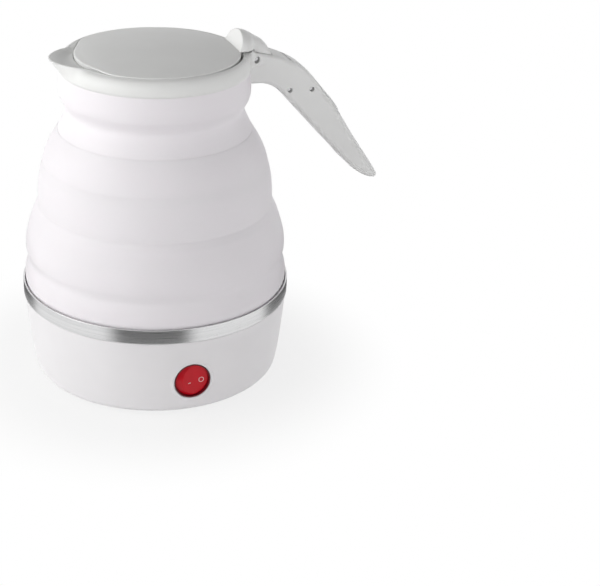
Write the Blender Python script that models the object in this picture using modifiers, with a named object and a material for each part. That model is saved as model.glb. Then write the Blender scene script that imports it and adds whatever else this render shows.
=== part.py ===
"""A collapsible electric kettle, unfolded and at rest, in metres.

The origin is on the kettle's vertical axis at the underside of its base cover.
+Z is up, +X points along the handle, and the switch faces -Y.
"""

import math

import bmesh
import bpy
from mathutils import Matrix, Vector

# Counts
large_sides = 32
hidden_sides = 24
small_sides = 14
screw_sides = 10
wire_points = 12
spring_turns = 4
spring_points_per_turn = 8

# Shared clearances and wall sizes
gap = 0.0003
ring_gap = 0.0004
overrun = 0.002
weld = 0.000001

# Base shell
base_height = 0.0386
base_inset = 0.0005
base_taper = 0.0040
base_corner = 0.0045
base_wall = 0.0022
base_swell_power = 0.75
shelf_thickness = 0.0028
shelf_step = 0.0024
floor_lip_width = 0.0033
floor_lip_thickness = 0.0024

# Steel band
band_radius = 0.0635
band_wall = 0.0008
band_height = 0.0068

# Base cover, its screws and feet
cover_thickness = 0.0024
foot_radius = 0.0050
foot_drop = 0.0012
foot_seat_depth = 0.0016
foot_inset = 0.0109
foot_count = 4
base_screw_inset = 0.0049
base_screw_count = 3
post_radius = 0.0038
post_height_share = 0.337
rib_width = 0.0030
screw_head_radius = 0.0028
screw_head_height = 0.0010
screw_radius = 0.0013
base_screw_length_share = 0.246
head_seat_depth = 0.0014

# Heater group
pan_inset = 0.0115
pan_wall = 0.0010
pan_depth = 0.0073
pan_flange_inset = 0.0045
pan_rim_height = 0.0039
pan_corner = 0.0006
seal_width = 0.0024
seal_height = 0.0009
groove_depth = 0.0013
groove_inset = 0.0020
spreader_inset = 0.0080
spreader_thickness = 0.0019
element_inset = 0.0188
element_radius = 0.0030
element_gap_angle = math.radians(36)
element_leg = 0.0085
clamp_inner_reach = 0.0050
clamp_outer_reach = 0.0076
clamp_thickness = 0.0017
clamp_lip_width = 0.0025
clamp_lip_height = 0.0010
clamp_screw_reach = 0.0043
clamp_screw_count = 3
clamp_post_radius = 0.0032
clamp_post_drop = 0.0049
clamp_screw_length = 0.0052
thermostat_radius = 0.0075
thermostat_height = 0.0095
thermostat_share = 0.382
cutout_radius = 0.0060
cutout_height = 0.0080
cutout_share = 0.353
fuse_radius = 0.0020
fuse_length = 0.0120
fuse_share = 0.5

# Switch
switch_height_share = 0.4456
dish_radius = 0.0106
dish_depth = 0.0022
housing_radius = 0.0084
housing_opening = 0.0076
housing_sink = 0.0006
housing_depth = 0.0150
housing_well = 0.0079
rocker_radius = 0.0070
rocker_half_depth = 0.0026
rocker_sink = 0.0039
rocker_tilt = math.radians(12)
rocker_valley = 0.0008
terminal_width = 0.0048
terminal_thickness = 0.0008
terminal_length = 0.0060
terminal_pitch = 0.0080

# Appliance inlet
inlet_height_share = 0.4534
inlet_width = 0.0270
inlet_tall_share = 0.5052
inlet_sink = 0.0014
inlet_depth = 0.0170
inlet_wall = 0.0015
inlet_floor = 0.0025
pin_width = 0.0020
pin_tall = 0.0040
pin_sink = 0.0052
pin_length = 0.0148
pin_pitch = 0.0070
pin_earth_offset = 0.0040

# Wires inside the base
wire_radius = 0.0011
wire_level_share = 0.26
earth_level_share = 0.65
wire_bow_share = 0.478

# Silicone bellows, from the band up
silicone_wall = 0.0030
skirt_depth = 0.0031
lower_bulge_height = 0.0118
lower_bulge_inset = 0.0010
groove_inset_outer = 0.0031
base_wall_lip_height = 0.0060
base_wall_lip_swell = 0.0009
ring_overlap = 0.0025
ring_edge = 0.0006
low_ring_height = 0.0187
low_ring_wall = 0.0018
low_ring_taper = 0.0036
low_ring_power = 4.0
middle_ring_height = 0.0193
middle_ring_wall = 0.0016
middle_ring_taper = 0.0030
middle_ring_power = 3.0
high_ring_height = 0.0158
high_ring_wall = 0.0016
high_ring_taper = 0.0068
high_ring_power = 1.6
waist_height = 0.0127
waist_taper = 0.0034
waist_power = 1.5
neck_height = 0.0172
neck_swell = 0.0031
neck_wall = 0.0018
neck_swell_share = 0.86
neck_swell_power = 0.7

# Collar
collar_flare = 0.0030
collar_height = 0.0080
collar_edge = 0.0007
sleeve_inset = 0.0038
sleeve_wall = 0.0020
sleeve_drop = 0.0065
rim_width = 0.0037
lid_seat_depth = 0.0026
lid_seat_shift = 0.0008
clamp_sleeve_wall = 0.0019
clamp_flange_height = 0.0015
clamp_sleeve_rise = 0.0010

# Pouring lip
lip_length = 0.0050
lip_rise = 0.0018
lip_wall = 0.0018
lip_root_angle = math.radians(34)
lip_floor = 0.0020
lip_levels = 5
lip_columns = 12

# Lid
lid_gap = 0.0011
lid_edge_height = 0.0026
lid_dome = 0.0022
lid_wall = 0.0020
lid_rim_width = 0.0022
lid_boss_radius = 0.0030
lid_boss_share = 0.51
plate_inset = 0.0036
plate_thickness = 0.0016
plate_wall_height = 0.0041
plate_wall_width = 0.0014
lid_seal_width = 0.0017
lid_seal_height = 0.0016
lid_screw_length = 0.0048
knuckle_radius = 0.0113
knuckle_height = 0.0093
knuckle_reach = 0.0003
knuckle_setback = 0.0022
knuckle_lean = math.radians(22)
drum_radius = 0.0084
drum_half_width = 0.0071
barrel_radius = 0.0031
drum_lower_angle = math.radians(24)
drum_upper_angle = math.radians(5)
hinge_arm_rise = 0.0009
knuckle_undercut = 0.0026
knuckle_undercut_start = 0.0001

# Handle: shares are of its reach from the collar and of its drop from the rim
handle_reach = 0.0691
handle_drop = 0.0702
handle_half_width = 0.0090
handle_round = 0.0022
handle_wall = 0.0022
roof_wall = 0.0018
cavity_half_width = 0.0065
slot_half_width = 0.0075
slot_clearance = 0.0005
slot_length = 0.0107
cover_plate_thickness = 0.0020
bar_radius = 0.0030
bar_standoff = 0.0003
handle_screw_radius = 0.0010
handle_screw_head_radius = 0.0019
handle_screw_head = 0.0010
handle_screw_length = 0.0050
hinge_pin_radius = 0.00125
lever_pin_radius = 0.0010
pin_recess = 0.0002
root_inset = 0.0025
handle_top_shares = (
    (0.000, 0.008), (0.110, 0.036), (0.223, 0.073), (0.326, 0.126), (0.412, 0.196),
    (0.525, 0.303), (0.618, 0.412), (0.687, 0.510), (0.767, 0.648), (0.847, 0.771),
    (0.926, 0.887), (1.000, 1.000),
)
handle_under_shares = (
    (0.000, 0.232), (0.087, 0.236), (0.152, 0.258), (0.217, 0.309), (0.289, 0.380),
    (0.373, 0.473), (0.472, 0.580), (0.564, 0.682), (0.677, 0.802), (0.731, 0.865),
    (0.803, 0.929), (0.876, 0.973), (0.941, 1.001),
)
hinge_shares = (0.0217, 0.057)
lever_pivot_shares = (0.275, 0.292)
stop_pin_shares = (0.434, 0.298)
roof_start_share = 0.177
cover_start_share = 0.355
cover_end_share = 0.840
bar_shares = (0.530, 0.755)

# Release lever
lever_start_share = 0.287
lever_end_share = 0.687
lever_half_width = 0.0062
lever_plate = 0.0018
lever_proud = 0.0013
lever_web_half_width = 0.0021
lever_boss_radius = 0.0021
lever_boss_half_width = 0.0056
stop_hole_radius = 0.0022
lever_arm_shares = (
    (0.166, 0.105), (0.152, 0.102), (0.153, 0.122), (0.211, 0.199), (0.240, 0.262),
    (0.258, 0.285), (0.301, 0.315), (0.420, 0.355), (0.482, 0.326),
)
lever_arm_roof_shares = ((0.274, 0.164), (0.239, 0.155), (0.192, 0.127), (0.172, 0.113))
lever_web_top_shares = (0.495, 0.410, 0.326, 0.298)
spring_radius = 0.0021
spring_wire = 0.0003

# Places that follow from the sizes above
base_top_radius = band_radius - base_inset
base_foot_radius = base_top_radius - base_taper


def base_side(height):
    """The outer radius of the base shell at a height above its rounded corner."""
    share = (height - base_corner) / (base_height - base_corner)
    return base_foot_radius + (base_top_radius - base_foot_radius) * max(share, 0.0) ** base_swell_power


band_low = base_height + gap
band_top = band_low + band_height
base_bore = band_radius - band_wall - gap - silicone_wall
shelf_top = base_height + shelf_step
pan_flange_low = shelf_top + gap
pan_flange_top = pan_flange_low + pan_wall
pan_floor_height = pan_flange_low - pan_depth
pan_radius = band_radius - pan_inset
pan_flange_radius = band_radius - pan_flange_inset
spreader_radius = pan_radius - spreader_inset
element_circle = pan_radius - element_inset
clamp_inner_radius = pan_radius - clamp_inner_reach
clamp_outer_radius = pan_radius + clamp_outer_reach
clamp_screw_circle = pan_radius + clamp_screw_reach
thermostat_place = (0.0, -element_circle * thermostat_share)
cutout_place = (0.0, element_circle * cutout_share)
fuse_place = (element_circle * fuse_share, 0.0)
cover_radius = base_foot_radius - base_corner - floor_lip_width - gap
foot_circle = cover_radius - foot_inset
base_screw_circle = cover_radius - base_screw_inset
post_height = base_height * post_height_share
base_screw_length = base_height * base_screw_length_share
switch_height = base_height * switch_height_share
dish_floor = base_side(switch_height) - dish_depth
housing_front = base_side(switch_height) - housing_sink
rocker_pivot = base_side(switch_height) - rocker_sink
inlet_height = base_height * inlet_height_share
inlet_tall = base_height * inlet_tall_share
inlet_front = base_side(inlet_height) - inlet_sink
pin_front = inlet_front - pin_sink
wire_level = base_height * wire_level_share
earth_level = base_height * earth_level_share
wire_bow = base_screw_circle * wire_bow_share
skirt_low = pan_flange_top + gap
lower_groove = band_top + lower_bulge_height
base_lip = lower_groove + base_wall_lip_height
low_lip = base_lip + low_ring_height
middle_lip = low_lip + middle_ring_height
high_lip = middle_lip + high_ring_height
waist = high_lip + waist_height
neck_top = waist + neck_height
collar_low = neck_top + gap
rim_top = collar_low + collar_height
low_ring_radius = base_bore - ring_gap
middle_ring_radius = low_ring_radius - low_ring_taper - ring_gap
high_ring_radius = middle_ring_radius - middle_ring_taper - ring_gap
neck_radius = high_ring_radius - high_ring_taper - ring_gap
waist_radius = neck_radius - waist_taper
collar_radius = waist_radius + collar_flare
sleeve_radius = collar_radius - sleeve_inset
lid_seat_radius = collar_radius - rim_width
lid_radius = lid_seat_radius - lid_gap
lid_boss_place = lid_radius * lid_boss_share
plate_radius = lid_radius - plate_inset
knuckle_centre = lid_radius + knuckle_reach
knuckle_front = lid_radius - knuckle_setback
lip_reach = collar_radius + lip_length
sleeve_low = collar_low - sleeve_drop
lid_seat = rim_top - lid_seat_depth
sleeve_bore = sleeve_radius - sleeve_wall
clamp_sleeve_radius = sleeve_bore - gap
clamp_top = collar_low + clamp_sleeve_rise
spreader_top = pan_floor_height - gap
spreader_low = spreader_top - spreader_thickness
clamp_ring_top = pan_floor_height - gap - clamp_lip_height


def empty_scene():
    for thing in list(bpy.data.objects):
        bpy.data.objects.remove(thing)


def new_collection(name):
    group = bpy.data.collections.new(name)
    bpy.context.scene.collection.children.link(group)
    return group


empty_scene()
parts = new_collection("collapsible_kettle")
cutters = new_collection("cutters")
cutters.hide_render = True


def finish(name, colour, roughness, metallic=0.0):
    """A plain material of one colour."""
    material = bpy.data.materials.new(name)
    material.use_nodes = True
    shader = material.node_tree.nodes["Principled BSDF"]
    shader.inputs["Base Color"].default_value = (*colour, 1.0)
    shader.inputs["Roughness"].default_value = roughness
    shader.inputs["Metallic"].default_value = metallic
    return material


white_shell = finish("white_shell", (0.86, 0.86, 0.87), 0.30)
grey_plastic = finish("pale_plastic", (0.80, 0.80, 0.80), 0.38)
silicone = finish("white_silicone", (0.86, 0.85, 0.87), 0.50)
clear_silicone = finish("seal_silicone", (0.78, 0.78, 0.76), 0.55)
brushed_steel = finish("brushed_steel", (0.62, 0.62, 0.63), 0.32, 1.0)
plain_steel = finish("plain_steel", (0.66, 0.66, 0.67), 0.25, 1.0)
aluminium = finish("aluminium", (0.72, 0.72, 0.73), 0.40, 1.0)
brass = finish("brass", (0.72, 0.55, 0.25), 0.35, 1.0)
red_plastic = finish("red_plastic", (0.60, 0.02, 0.04), 0.22)
dark_red = finish("dark_red_plastic", (0.30, 0.01, 0.03), 0.30)
black_plastic = finish("black_plastic", (0.03, 0.03, 0.03), 0.45)
black_rubber = finish("black_rubber", (0.04, 0.04, 0.04), 0.70)
wire_brown = finish("brown_wire", (0.22, 0.09, 0.04), 0.50)
wire_blue = finish("blue_wire", (0.04, 0.12, 0.45), 0.50)
wire_green = finish("green_wire", (0.05, 0.35, 0.10), 0.50)


def place(name, mesh, material, group=None):
    """Puts a mesh into the scene as an object. Without a material it is a cutter."""
    thing = bpy.data.objects.new(name, mesh)
    if material is None:
        cutters.objects.link(thing)
        thing.hide_render = True
        thing.display_type = "WIRE"
        return thing
    (group or parts).objects.link(thing)
    mesh.materials.append(material)
    return thing


def smooth(mesh):
    mesh.shade_smooth()
    mesh.set_sharp_from_angle(angle=math.radians(35))


def turned(name, outline, material, sides=large_sides, at=(0.0, 0.0, 0.0)):
    """A profile of (radius, height) points, given down the outer side, turned about the vertical."""
    mesh = bpy.data.meshes.new(name)
    work = bmesh.new()
    points = [work.verts.new((radius, 0.0, height)) for radius, height in outline]
    for first, second in zip(points, points[1:]):
        work.edges.new((first, second))
    if outline[0][0] > 0:
        work.edges.new((points[-1], points[0]))
    work.to_mesh(mesh)
    work.free()
    thing = place(name, mesh, material)
    thing.location = at
    screw = thing.modifiers.new("turn", "SCREW")
    screw.steps = sides
    screw.render_steps = sides
    screw.use_merge_vertices = True
    screw.merge_threshold = weld
    screw.use_smooth_shade = True
    return thing


def rod(name, start, end, radius, material, sides=small_sides, end_radius=None):
    """A cylinder, or a cone, from one point to another."""
    start, end = Vector(start), Vector(end)
    work = bmesh.new()
    bmesh.ops.create_cone(
        work,
        cap_ends=True,
        segments=sides,
        radius1=radius,
        radius2=radius if end_radius is None else end_radius,
        depth=(end - start).length,
    )
    mesh = bpy.data.meshes.new(name)
    work.to_mesh(mesh)
    work.free()
    smooth(mesh)
    thing = place(name, mesh, material)
    turn = (end - start).to_track_quat("Z", "Y").to_matrix().to_4x4()
    thing.matrix_world = Matrix.Translation((start + end) / 2) @ turn
    return thing


def block(name, low, high, material):
    """A box from its lowest corner to its highest."""
    low, high = Vector(low), Vector(high)
    work = bmesh.new()
    bmesh.ops.create_cube(work, size=1.0)
    bmesh.ops.scale(work, vec=high - low, verts=work.verts)
    mesh = bpy.data.meshes.new(name)
    work.to_mesh(mesh)
    work.free()
    thing = place(name, mesh, material)
    thing.location = (low + high) / 2
    return thing


def mesh_of_curve(name, curve, matrix, material):
    """Turns a curve into a closed mesh object, so that it can be cut and joined."""
    guide = bpy.data.objects.new(name + "_curve", curve)
    cutters.objects.link(guide)
    guide.matrix_world = matrix
    bpy.context.view_layer.update()
    graph = bpy.context.evaluated_depsgraph_get()
    mesh = bpy.data.meshes.new_from_object(guide.evaluated_get(graph))
    bpy.data.objects.remove(guide)
    work = bmesh.new()
    work.from_mesh(mesh)
    bmesh.ops.remove_doubles(work, verts=work.verts, dist=weld)
    bmesh.ops.dissolve_limit(work, angle_limit=math.radians(1) / 10, verts=work.verts, edges=work.edges)
    bmesh.ops.recalc_face_normals(work, faces=work.faces)
    work.to_mesh(mesh)
    work.free()
    mesh.materials.clear()
    thing = place(name, mesh, material)
    thing.matrix_world = matrix
    return thing


def slab(name, outline, half_width, material):
    """A flat outline of (x, z) points, as thick as twice half_width across Y."""
    curve = bpy.data.curves.new(name, "CURVE")
    curve.dimensions = "2D"
    curve.fill_mode = "BOTH"
    curve.extrude = half_width
    spline = curve.splines.new("POLY")
    spline.points.add(len(outline) - 1)
    for point, (x, z) in zip(spline.points, outline):
        point.co = (x, z, 0.0, 1.0)
    spline.use_cyclic_u = True
    upright = Matrix.Rotation(math.pi / 2, 4, "X")
    return mesh_of_curve(name, curve, upright, material)


def tube(name, path, radius, material, roundness=1):
    """A round wire along a list of points."""
    curve = bpy.data.curves.new(name, "CURVE")
    curve.dimensions = "3D"
    curve.bevel_depth = radius
    curve.bevel_resolution = roundness
    curve.use_fill_caps = True
    spline = curve.splines.new("POLY")
    spline.points.add(len(path) - 1)
    for point, place_on_path in zip(spline.points, path):
        point.co = (*place_on_path, 1.0)
    thing = mesh_of_curve(name, curve, Matrix.Identity(4), material)
    smooth(thing.data)
    return thing


def combine(body, other, operation):
    step = body.modifiers.new(operation.lower() + "_" + other.name, "BOOLEAN")
    step.operation = operation
    step.solver = "EXACT"
    step.object = other
    return body


def cut(body, *others):
    for other in others:
        combine(body, other, "DIFFERENCE")
    return body


def join(body, *others):
    for other in others:
        combine(body, other, "UNION")
    return body


def around(radius, count, turn=0.0):
    """Evenly spaced places on a circle, with the angle of each."""
    for index in range(count):
        angle = turn + 2 * math.pi * index / count
        yield radius * math.cos(angle), radius * math.sin(angle), angle


# Base


def base_shell():
    levels = [base_height - (base_height - base_corner) * index / 4 for index in range(5)]
    outer = [(base_side(level), level) for level in levels]
    middle = (base_foot_radius - base_corner, base_corner)
    corner = [
        (middle[0] + base_corner * math.cos(turn), middle[1] - base_corner * math.sin(turn))
        for turn in (math.pi / 6, math.pi / 3, math.pi / 2)
    ]
    floor_bore = middle[0] - floor_lip_width
    shelf_low = shelf_top - shelf_thickness
    inner = [(base_side(level) - base_wall, level) for level in levels[:0:-1]]
    skirt = band_radius - band_wall - gap
    bore = pan_radius + gap + gap
    groove_in = bore + groove_inset
    groove_out = groove_in + seal_width + gap + gap
    outline = (
        [(skirt, shelf_top), (skirt, base_height)]
        + outer
        + corner
        + [(floor_bore, 0.0), (floor_bore, floor_lip_thickness)]
        + [(inner[0][0] - base_corner / 3, floor_lip_thickness)]
        + inner
        + [(inner[-1][0], shelf_low), (bore, shelf_low), (bore, shelf_top)]
        + [(groove_in, shelf_top), (groove_in, shelf_top - groove_depth)]
        + [(groove_out, shelf_top - groove_depth), (groove_out, shelf_top)]
    )
    shell = turned("base_shell", outline, white_shell)
    post_low = cover_thickness + gap
    for index, (x, y, angle) in enumerate(around(base_screw_circle, base_screw_count)):
        top = post_low + post_height
        post = rod(f"post_{index}", (x, y, post_low), (x, y, top), post_radius, None)
        reach = base_foot_radius - base_wall / 2 - base_screw_circle
        rib = block(
            f"rib_{index}",
            (0.0, -rib_width / 2, post_low + gap),
            (reach, rib_width / 2, top - post_radius),
            None,
        )
        rib.matrix_world = Matrix.Rotation(angle, 4, "Z") @ Matrix.Translation(
            (base_screw_circle + reach / 2, 0.0, (post_low + gap + top - post_radius) / 2)
        )
        hole = rod(
            f"post_hole_{index}",
            (x, y, post_low - overrun),
            (x, y, top - base_wall / 2),
            screw_radius + gap,
            None,
        )
        join(shell, rib, post)
        cut(shell, hole)
    for index, (x, y, _) in enumerate(around(clamp_screw_circle, clamp_screw_count, math.pi / 6)):
        low = shelf_low - clamp_post_drop
        post = rod(f"clamp_post_{index}", (x, y, low), (x, y, shelf_low + base_wall / 2), clamp_post_radius, None)
        hole = rod(
            f"clamp_hole_{index}", (x, y, low - overrun), (x, y, shelf_low), screw_radius + gap, None
        )
        join(shell, post)
        cut(shell, hole)
    dish = rod(
        "switch_dish",
        (0.0, -dish_floor, switch_height),
        (0.0, -band_radius - overrun, switch_height),
        dish_radius,
        None,
        hidden_sides,
    )
    hole = rod(
        "switch_hole",
        (0.0, -dish_floor - overrun, switch_height),
        (0.0, -housing_front + housing_depth, switch_height),
        housing_radius + gap,
        None,
        hidden_sides,
    )
    inlet = block(
        "inlet_hole",
        (-inlet_width / 2 - gap, inlet_front - inlet_depth, inlet_height - inlet_tall / 2 - gap),
        (inlet_width / 2 + gap, band_radius + overrun, inlet_height + inlet_tall / 2 + gap),
        None,
    )
    return cut(shell, dish, hole, inlet)


def base_cover():
    cover = turned(
        "base_cover",
        [(0.0, cover_thickness), (cover_radius, cover_thickness), (cover_radius, 0.0), (0.0, 0.0)],
        white_shell,
    )
    for index, (x, y, _) in enumerate(around(foot_circle, foot_count, math.pi / 4)):
        seat = rod(f"foot_seat_{index}", (x, y, -overrun), (x, y, foot_seat_depth), foot_radius + gap, None)
        cut(cover, seat)
        rubber = rod(
            f"foot_{index + 1}", (x, y, -foot_drop), (x, y, foot_seat_depth - gap), foot_radius, black_rubber
        )
        rubber.data.update()
    for index, (x, y, _) in enumerate(around(base_screw_circle, base_screw_count)):
        seat = rod(
            f"head_seat_{index}", (x, y, -overrun), (x, y, head_seat_depth), screw_head_radius + gap, None
        )
        hole = rod(
            f"cover_hole_{index}",
            (x, y, -overrun),
            (x, y, cover_thickness + overrun),
            screw_radius + gap,
            None,
        )
        cut(cover, seat, hole)
        head = head_seat_depth - gap
        screw(f"base_screw_{index + 1}", (x, y, head - screw_head_height), (0.0, 0.0, 1.0), base_screw_length)


def screw(name, at, direction, length, head_radius=None, radius=None, head_height=None):
    """A pan-head screw: the underside of its drive is at the given place."""
    at, direction = Vector(at), Vector(direction).normalized()
    head_radius = head_radius or screw_head_radius
    radius = radius or screw_radius
    head_height = head_height or screw_head_height
    outline = [
        (0.0, head_height + length),
        (radius, head_height + length - radius),
        (radius, head_height),
        (head_radius, head_height),
        (head_radius * 4 / 5, 0.0),
        (0.0, 0.0),
    ]
    thing = turned(name, outline, plain_steel, screw_sides)
    turn = direction.to_track_quat("Z", "Y").to_matrix().to_4x4()
    thing.matrix_world = Matrix.Translation(at) @ turn
    return thing


def steel_band():
    inner = band_radius - band_wall
    edge = band_wall / 4
    turned(
        "steel_band",
        [
            (band_radius - edge, band_top),
            (band_radius, band_top - edge),
            (band_radius, band_low + edge),
            (band_radius - edge, band_low),
            (inner, band_low),
            (inner, band_top),
        ],
        brushed_steel,
    )


def heating_pan():
    inner = pan_radius - pan_wall
    floor = pan_floor_height + pan_wall
    rim = pan_flange_top + pan_rim_height - pan_wall
    turned(
        "heating_pan",
        [
            (0.0, floor),
            (inner - pan_corner, floor),
            (inner, floor + pan_corner),
            (inner, pan_flange_top),
            (pan_flange_radius - pan_wall, pan_flange_top),
            (pan_flange_radius - pan_wall, rim),
            (pan_flange_radius, rim),
            (pan_flange_radius, pan_flange_low),
            (pan_radius, pan_flange_low),
            (pan_radius, pan_floor_height + pan_corner),
            (pan_radius - pan_corner, pan_floor_height),
            (0.0, pan_floor_height),
        ],
        plain_steel,
    )
    bore = pan_radius + gap + gap + groove_inset + gap
    top = shelf_top
    low = top - seal_height
    turned(
        "pan_seal",
        [(bore + seal_width, top), (bore + seal_width, low), (bore, low), (bore, top)],
        clear_silicone,
    )
    turned(
        "heat_spreader",
        [
            (0.0, spreader_top),
            (spreader_radius, spreader_top),
            (spreader_radius, spreader_low),
            (0.0, spreader_low),
        ],
        aluminium,
        hidden_sides,
    )


def heating_element():
    level = spreader_low - gap - element_radius
    sweep = 2 * math.pi - element_gap_angle
    start = math.pi / 2 + element_gap_angle / 2
    count = large_sides * 2 // 3
    path = []
    for index in range(count + 1):
        angle = start + sweep * index / count
        path.append((element_circle * math.cos(angle), element_circle * math.sin(angle), level))
    first, last = path[0], path[-1]
    bend = element_radius * 3 / 2
    legs = []
    for end, step in ((first, 1), (last, -1)):
        angle = math.atan2(end[1], end[0]) - step * bend / element_circle
        x, y = element_circle * math.cos(angle), element_circle * math.sin(angle)
        legs.append([(x, y, level - bend / 2), (x, y, level - bend), (x, y, level - element_leg)])
    tube("heating_element", legs[0][::-1] + path + legs[1], element_radius, plain_steel, 2)


def pan_clamp():
    low = clamp_ring_top - clamp_thickness
    lip_top = pan_floor_height - gap
    ring = turned(
        "pan_clamp_ring",
        [
            (clamp_outer_radius, clamp_ring_top),
            (clamp_outer_radius, low),
            (clamp_inner_radius, low),
            (clamp_inner_radius, lip_top),
            (clamp_inner_radius + clamp_lip_width, lip_top),
            (clamp_inner_radius + clamp_lip_width, clamp_ring_top),
        ],
        aluminium,
        hidden_sides,
    )
    for index, (x, y, _) in enumerate(around(clamp_screw_circle, clamp_screw_count, math.pi / 6)):
        hole = rod(
            f"clamp_ring_hole_{index}",
            (x, y, low - overrun),
            (x, y, clamp_ring_top + overrun),
            screw_radius + gap,
            None,
        )
        cut(ring, hole)
        head = low - gap - screw_head_height
        screw(f"clamp_screw_{index + 1}", (x, y, head), (0.0, 0.0, 1.0), clamp_screw_length)


def protectors():
    """The two round thermal switches and the fuse, all under the spreader."""
    top = spreader_low - gap
    for name, radius, height, where in (
        ("thermostat", thermostat_radius, thermostat_height, thermostat_place),
        ("dry_boil_cutout", cutout_radius, cutout_height, cutout_place),
    ):
        step = radius / 5
        body = turned(
            name,
            [
                (0.0, top),
                (radius, top),
                (radius, top - height / 3),
                (radius - step, top - height / 3),
                (radius - step, top - height),
                (0.0, top - height),
            ],
            black_plastic,
            small_sides,
            (*where, 0.0),
        )
        for side in (-1, 1):
            x = where[0] + side * radius / 2
            tab = block(
                f"{name}_tab_{side + 1}",
                (x - terminal_thickness / 2, where[1] - terminal_width / 2, top - height - terminal_length / 2),
                (x + terminal_thickness / 2, where[1] + terminal_width / 2, top - height + terminal_thickness),
                None,
            )
            join(body, tab)
    x, y = fuse_place
    level = top - fuse_radius
    rod("thermal_fuse", (x, y - fuse_length / 2, level), (x, y + fuse_length / 2, level), fuse_radius, white_shell)


# Switch and inlet


def switch():
    back = -housing_front + housing_depth
    housing = rod(
        "switch_housing",
        (0.0, back, switch_height),
        (0.0, -housing_front, switch_height),
        housing_radius,
        dark_red,
        hidden_sides,
    )
    well = rod(
        "switch_well",
        (0.0, -housing_front + housing_well, switch_height),
        (0.0, -housing_front - overrun, switch_height),
        housing_opening,
        None,
        hidden_sides,
    )
    cut(housing, well)
    rocker = rod(
        "switch_rocker",
        (0.0, rocker_half_depth, 0.0),
        (0.0, -rocker_half_depth, 0.0),
        rocker_radius,
        red_plastic,
        hidden_sides,
    )
    groove = slab(
        "rocker_valley",
        [
            (-rocker_radius - overrun, -rocker_half_depth - overrun),
            (-rocker_radius - overrun, -rocker_half_depth),
            (0.0, -rocker_half_depth + rocker_valley),
            (rocker_radius + overrun, -rocker_half_depth),
            (rocker_radius + overrun, -rocker_half_depth - overrun),
        ],
        rocker_radius + overrun,
        None,
    )
    groove.matrix_world = Matrix.Identity(4)
    pivot = Matrix.Translation((0.0, -rocker_pivot, switch_height))
    lean = Matrix.Rotation(rocker_tilt, 4, "Z")
    rocker.matrix_world = pivot @ lean @ rocker.matrix_world
    groove.matrix_world = pivot @ lean
    cut(rocker, groove)
    for index, side in enumerate((-1, 1)):
        x = side * terminal_pitch / 2
        block(
            f"switch_terminal_{index + 1}",
            (x - terminal_thickness / 2, back + gap, switch_height - terminal_width / 2),
            (x + terminal_thickness / 2, back + gap + terminal_length, switch_height + terminal_width / 2),
            brass,
        )


pin_places = (
    ("inlet_pin_live", -pin_pitch, 0.0),
    ("inlet_pin_earth", 0.0, pin_earth_offset),
    ("inlet_pin_neutral", pin_pitch, 0.0),
)


def inlet():
    back = inlet_front - inlet_depth
    half_width, half_tall = inlet_width / 2, inlet_tall / 2
    socket = block(
        "inlet_socket",
        (-half_width, back, inlet_height - half_tall),
        (half_width, inlet_front, inlet_height + half_tall),
        black_plastic,
    )
    hollow = block(
        "inlet_hollow",
        (-half_width + inlet_wall, back + inlet_floor, inlet_height - half_tall + inlet_wall),
        (half_width - inlet_wall, inlet_front + overrun, inlet_height + half_tall - inlet_wall),
        None,
    )
    cut(socket, hollow)
    for name, x, rise in pin_places:
        z = inlet_height + rise
        hole = block(
            name + "_hole",
            (x - pin_width / 2 - gap, back - overrun, z - pin_tall / 2 - gap),
            (x + pin_width / 2 + gap, back + inlet_floor + overrun, z + pin_tall / 2 + gap),
            None,
        )
        cut(socket, hole)
        block(
            name,
            (x - pin_width / 2, pin_front - pin_length, z - pin_tall / 2),
            (x + pin_width / 2, pin_front, z + pin_tall / 2),
            brass,
        )


def eased(first, second, share):
    """A place between two points, on a curve that starts and ends level."""
    smooth_share = share * share * (3 - 2 * share)
    return Vector(first).lerp(Vector(second), smooth_share)


def wire(name, start, end, bow, material, level=wire_level):
    """A wire that leaves its start, eases to a level of its own and bows aside on the way."""
    start, end = Vector(start), Vector(end)
    path = []
    for index in range(wire_points):
        share = index / (wire_points - 1)
        point = eased(start, end, share)
        swell = math.sin(math.pi * share)
        point += Vector((bow * swell, 0.0, (level - point.z) * swell))
        path.append(point)
    tube(name, path, wire_radius, material)


def wires():
    tail = pin_front - pin_length - gap - wire_radius
    back = -housing_front + housing_depth + gap + terminal_length + gap + wire_radius
    pitch = terminal_pitch / 2
    tab_level = spreader_low - gap - thermostat_height - terminal_length / 2 - gap - wire_radius
    wire("live_wire", (-pin_pitch, tail, inlet_height), (-pitch, back, switch_height), -wire_bow, wire_brown)
    x, y = thermostat_place[0] + thermostat_radius / 2, thermostat_place[1]
    wire("switched_wire", (pitch, back, switch_height), (x, y, tab_level), wire_bow / 4, wire_brown)
    leg = element_gap_angle / 2 - element_radius * 3 / 2 / element_circle
    end_x = element_circle * math.sin(leg)
    end_y = element_circle * math.cos(leg)
    end_level = spreader_low - gap - element_radius - element_leg - gap - wire_radius
    wire("neutral_wire", (pin_pitch, tail, inlet_height), (end_x, end_y, end_level), wire_bow / 4, wire_blue)
    clamp_low = clamp_ring_top - clamp_thickness - gap - wire_radius
    radius = clamp_inner_radius + clamp_lip_width
    aim = 3 * math.pi / 4
    clamp_end = (radius * math.cos(aim), radius * math.sin(aim), clamp_low)
    wire("earth_wire", (0.0, tail, inlet_height + pin_earth_offset), clamp_end, 0.0, wire_green, earth_level)


# Silicone bellows


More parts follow.
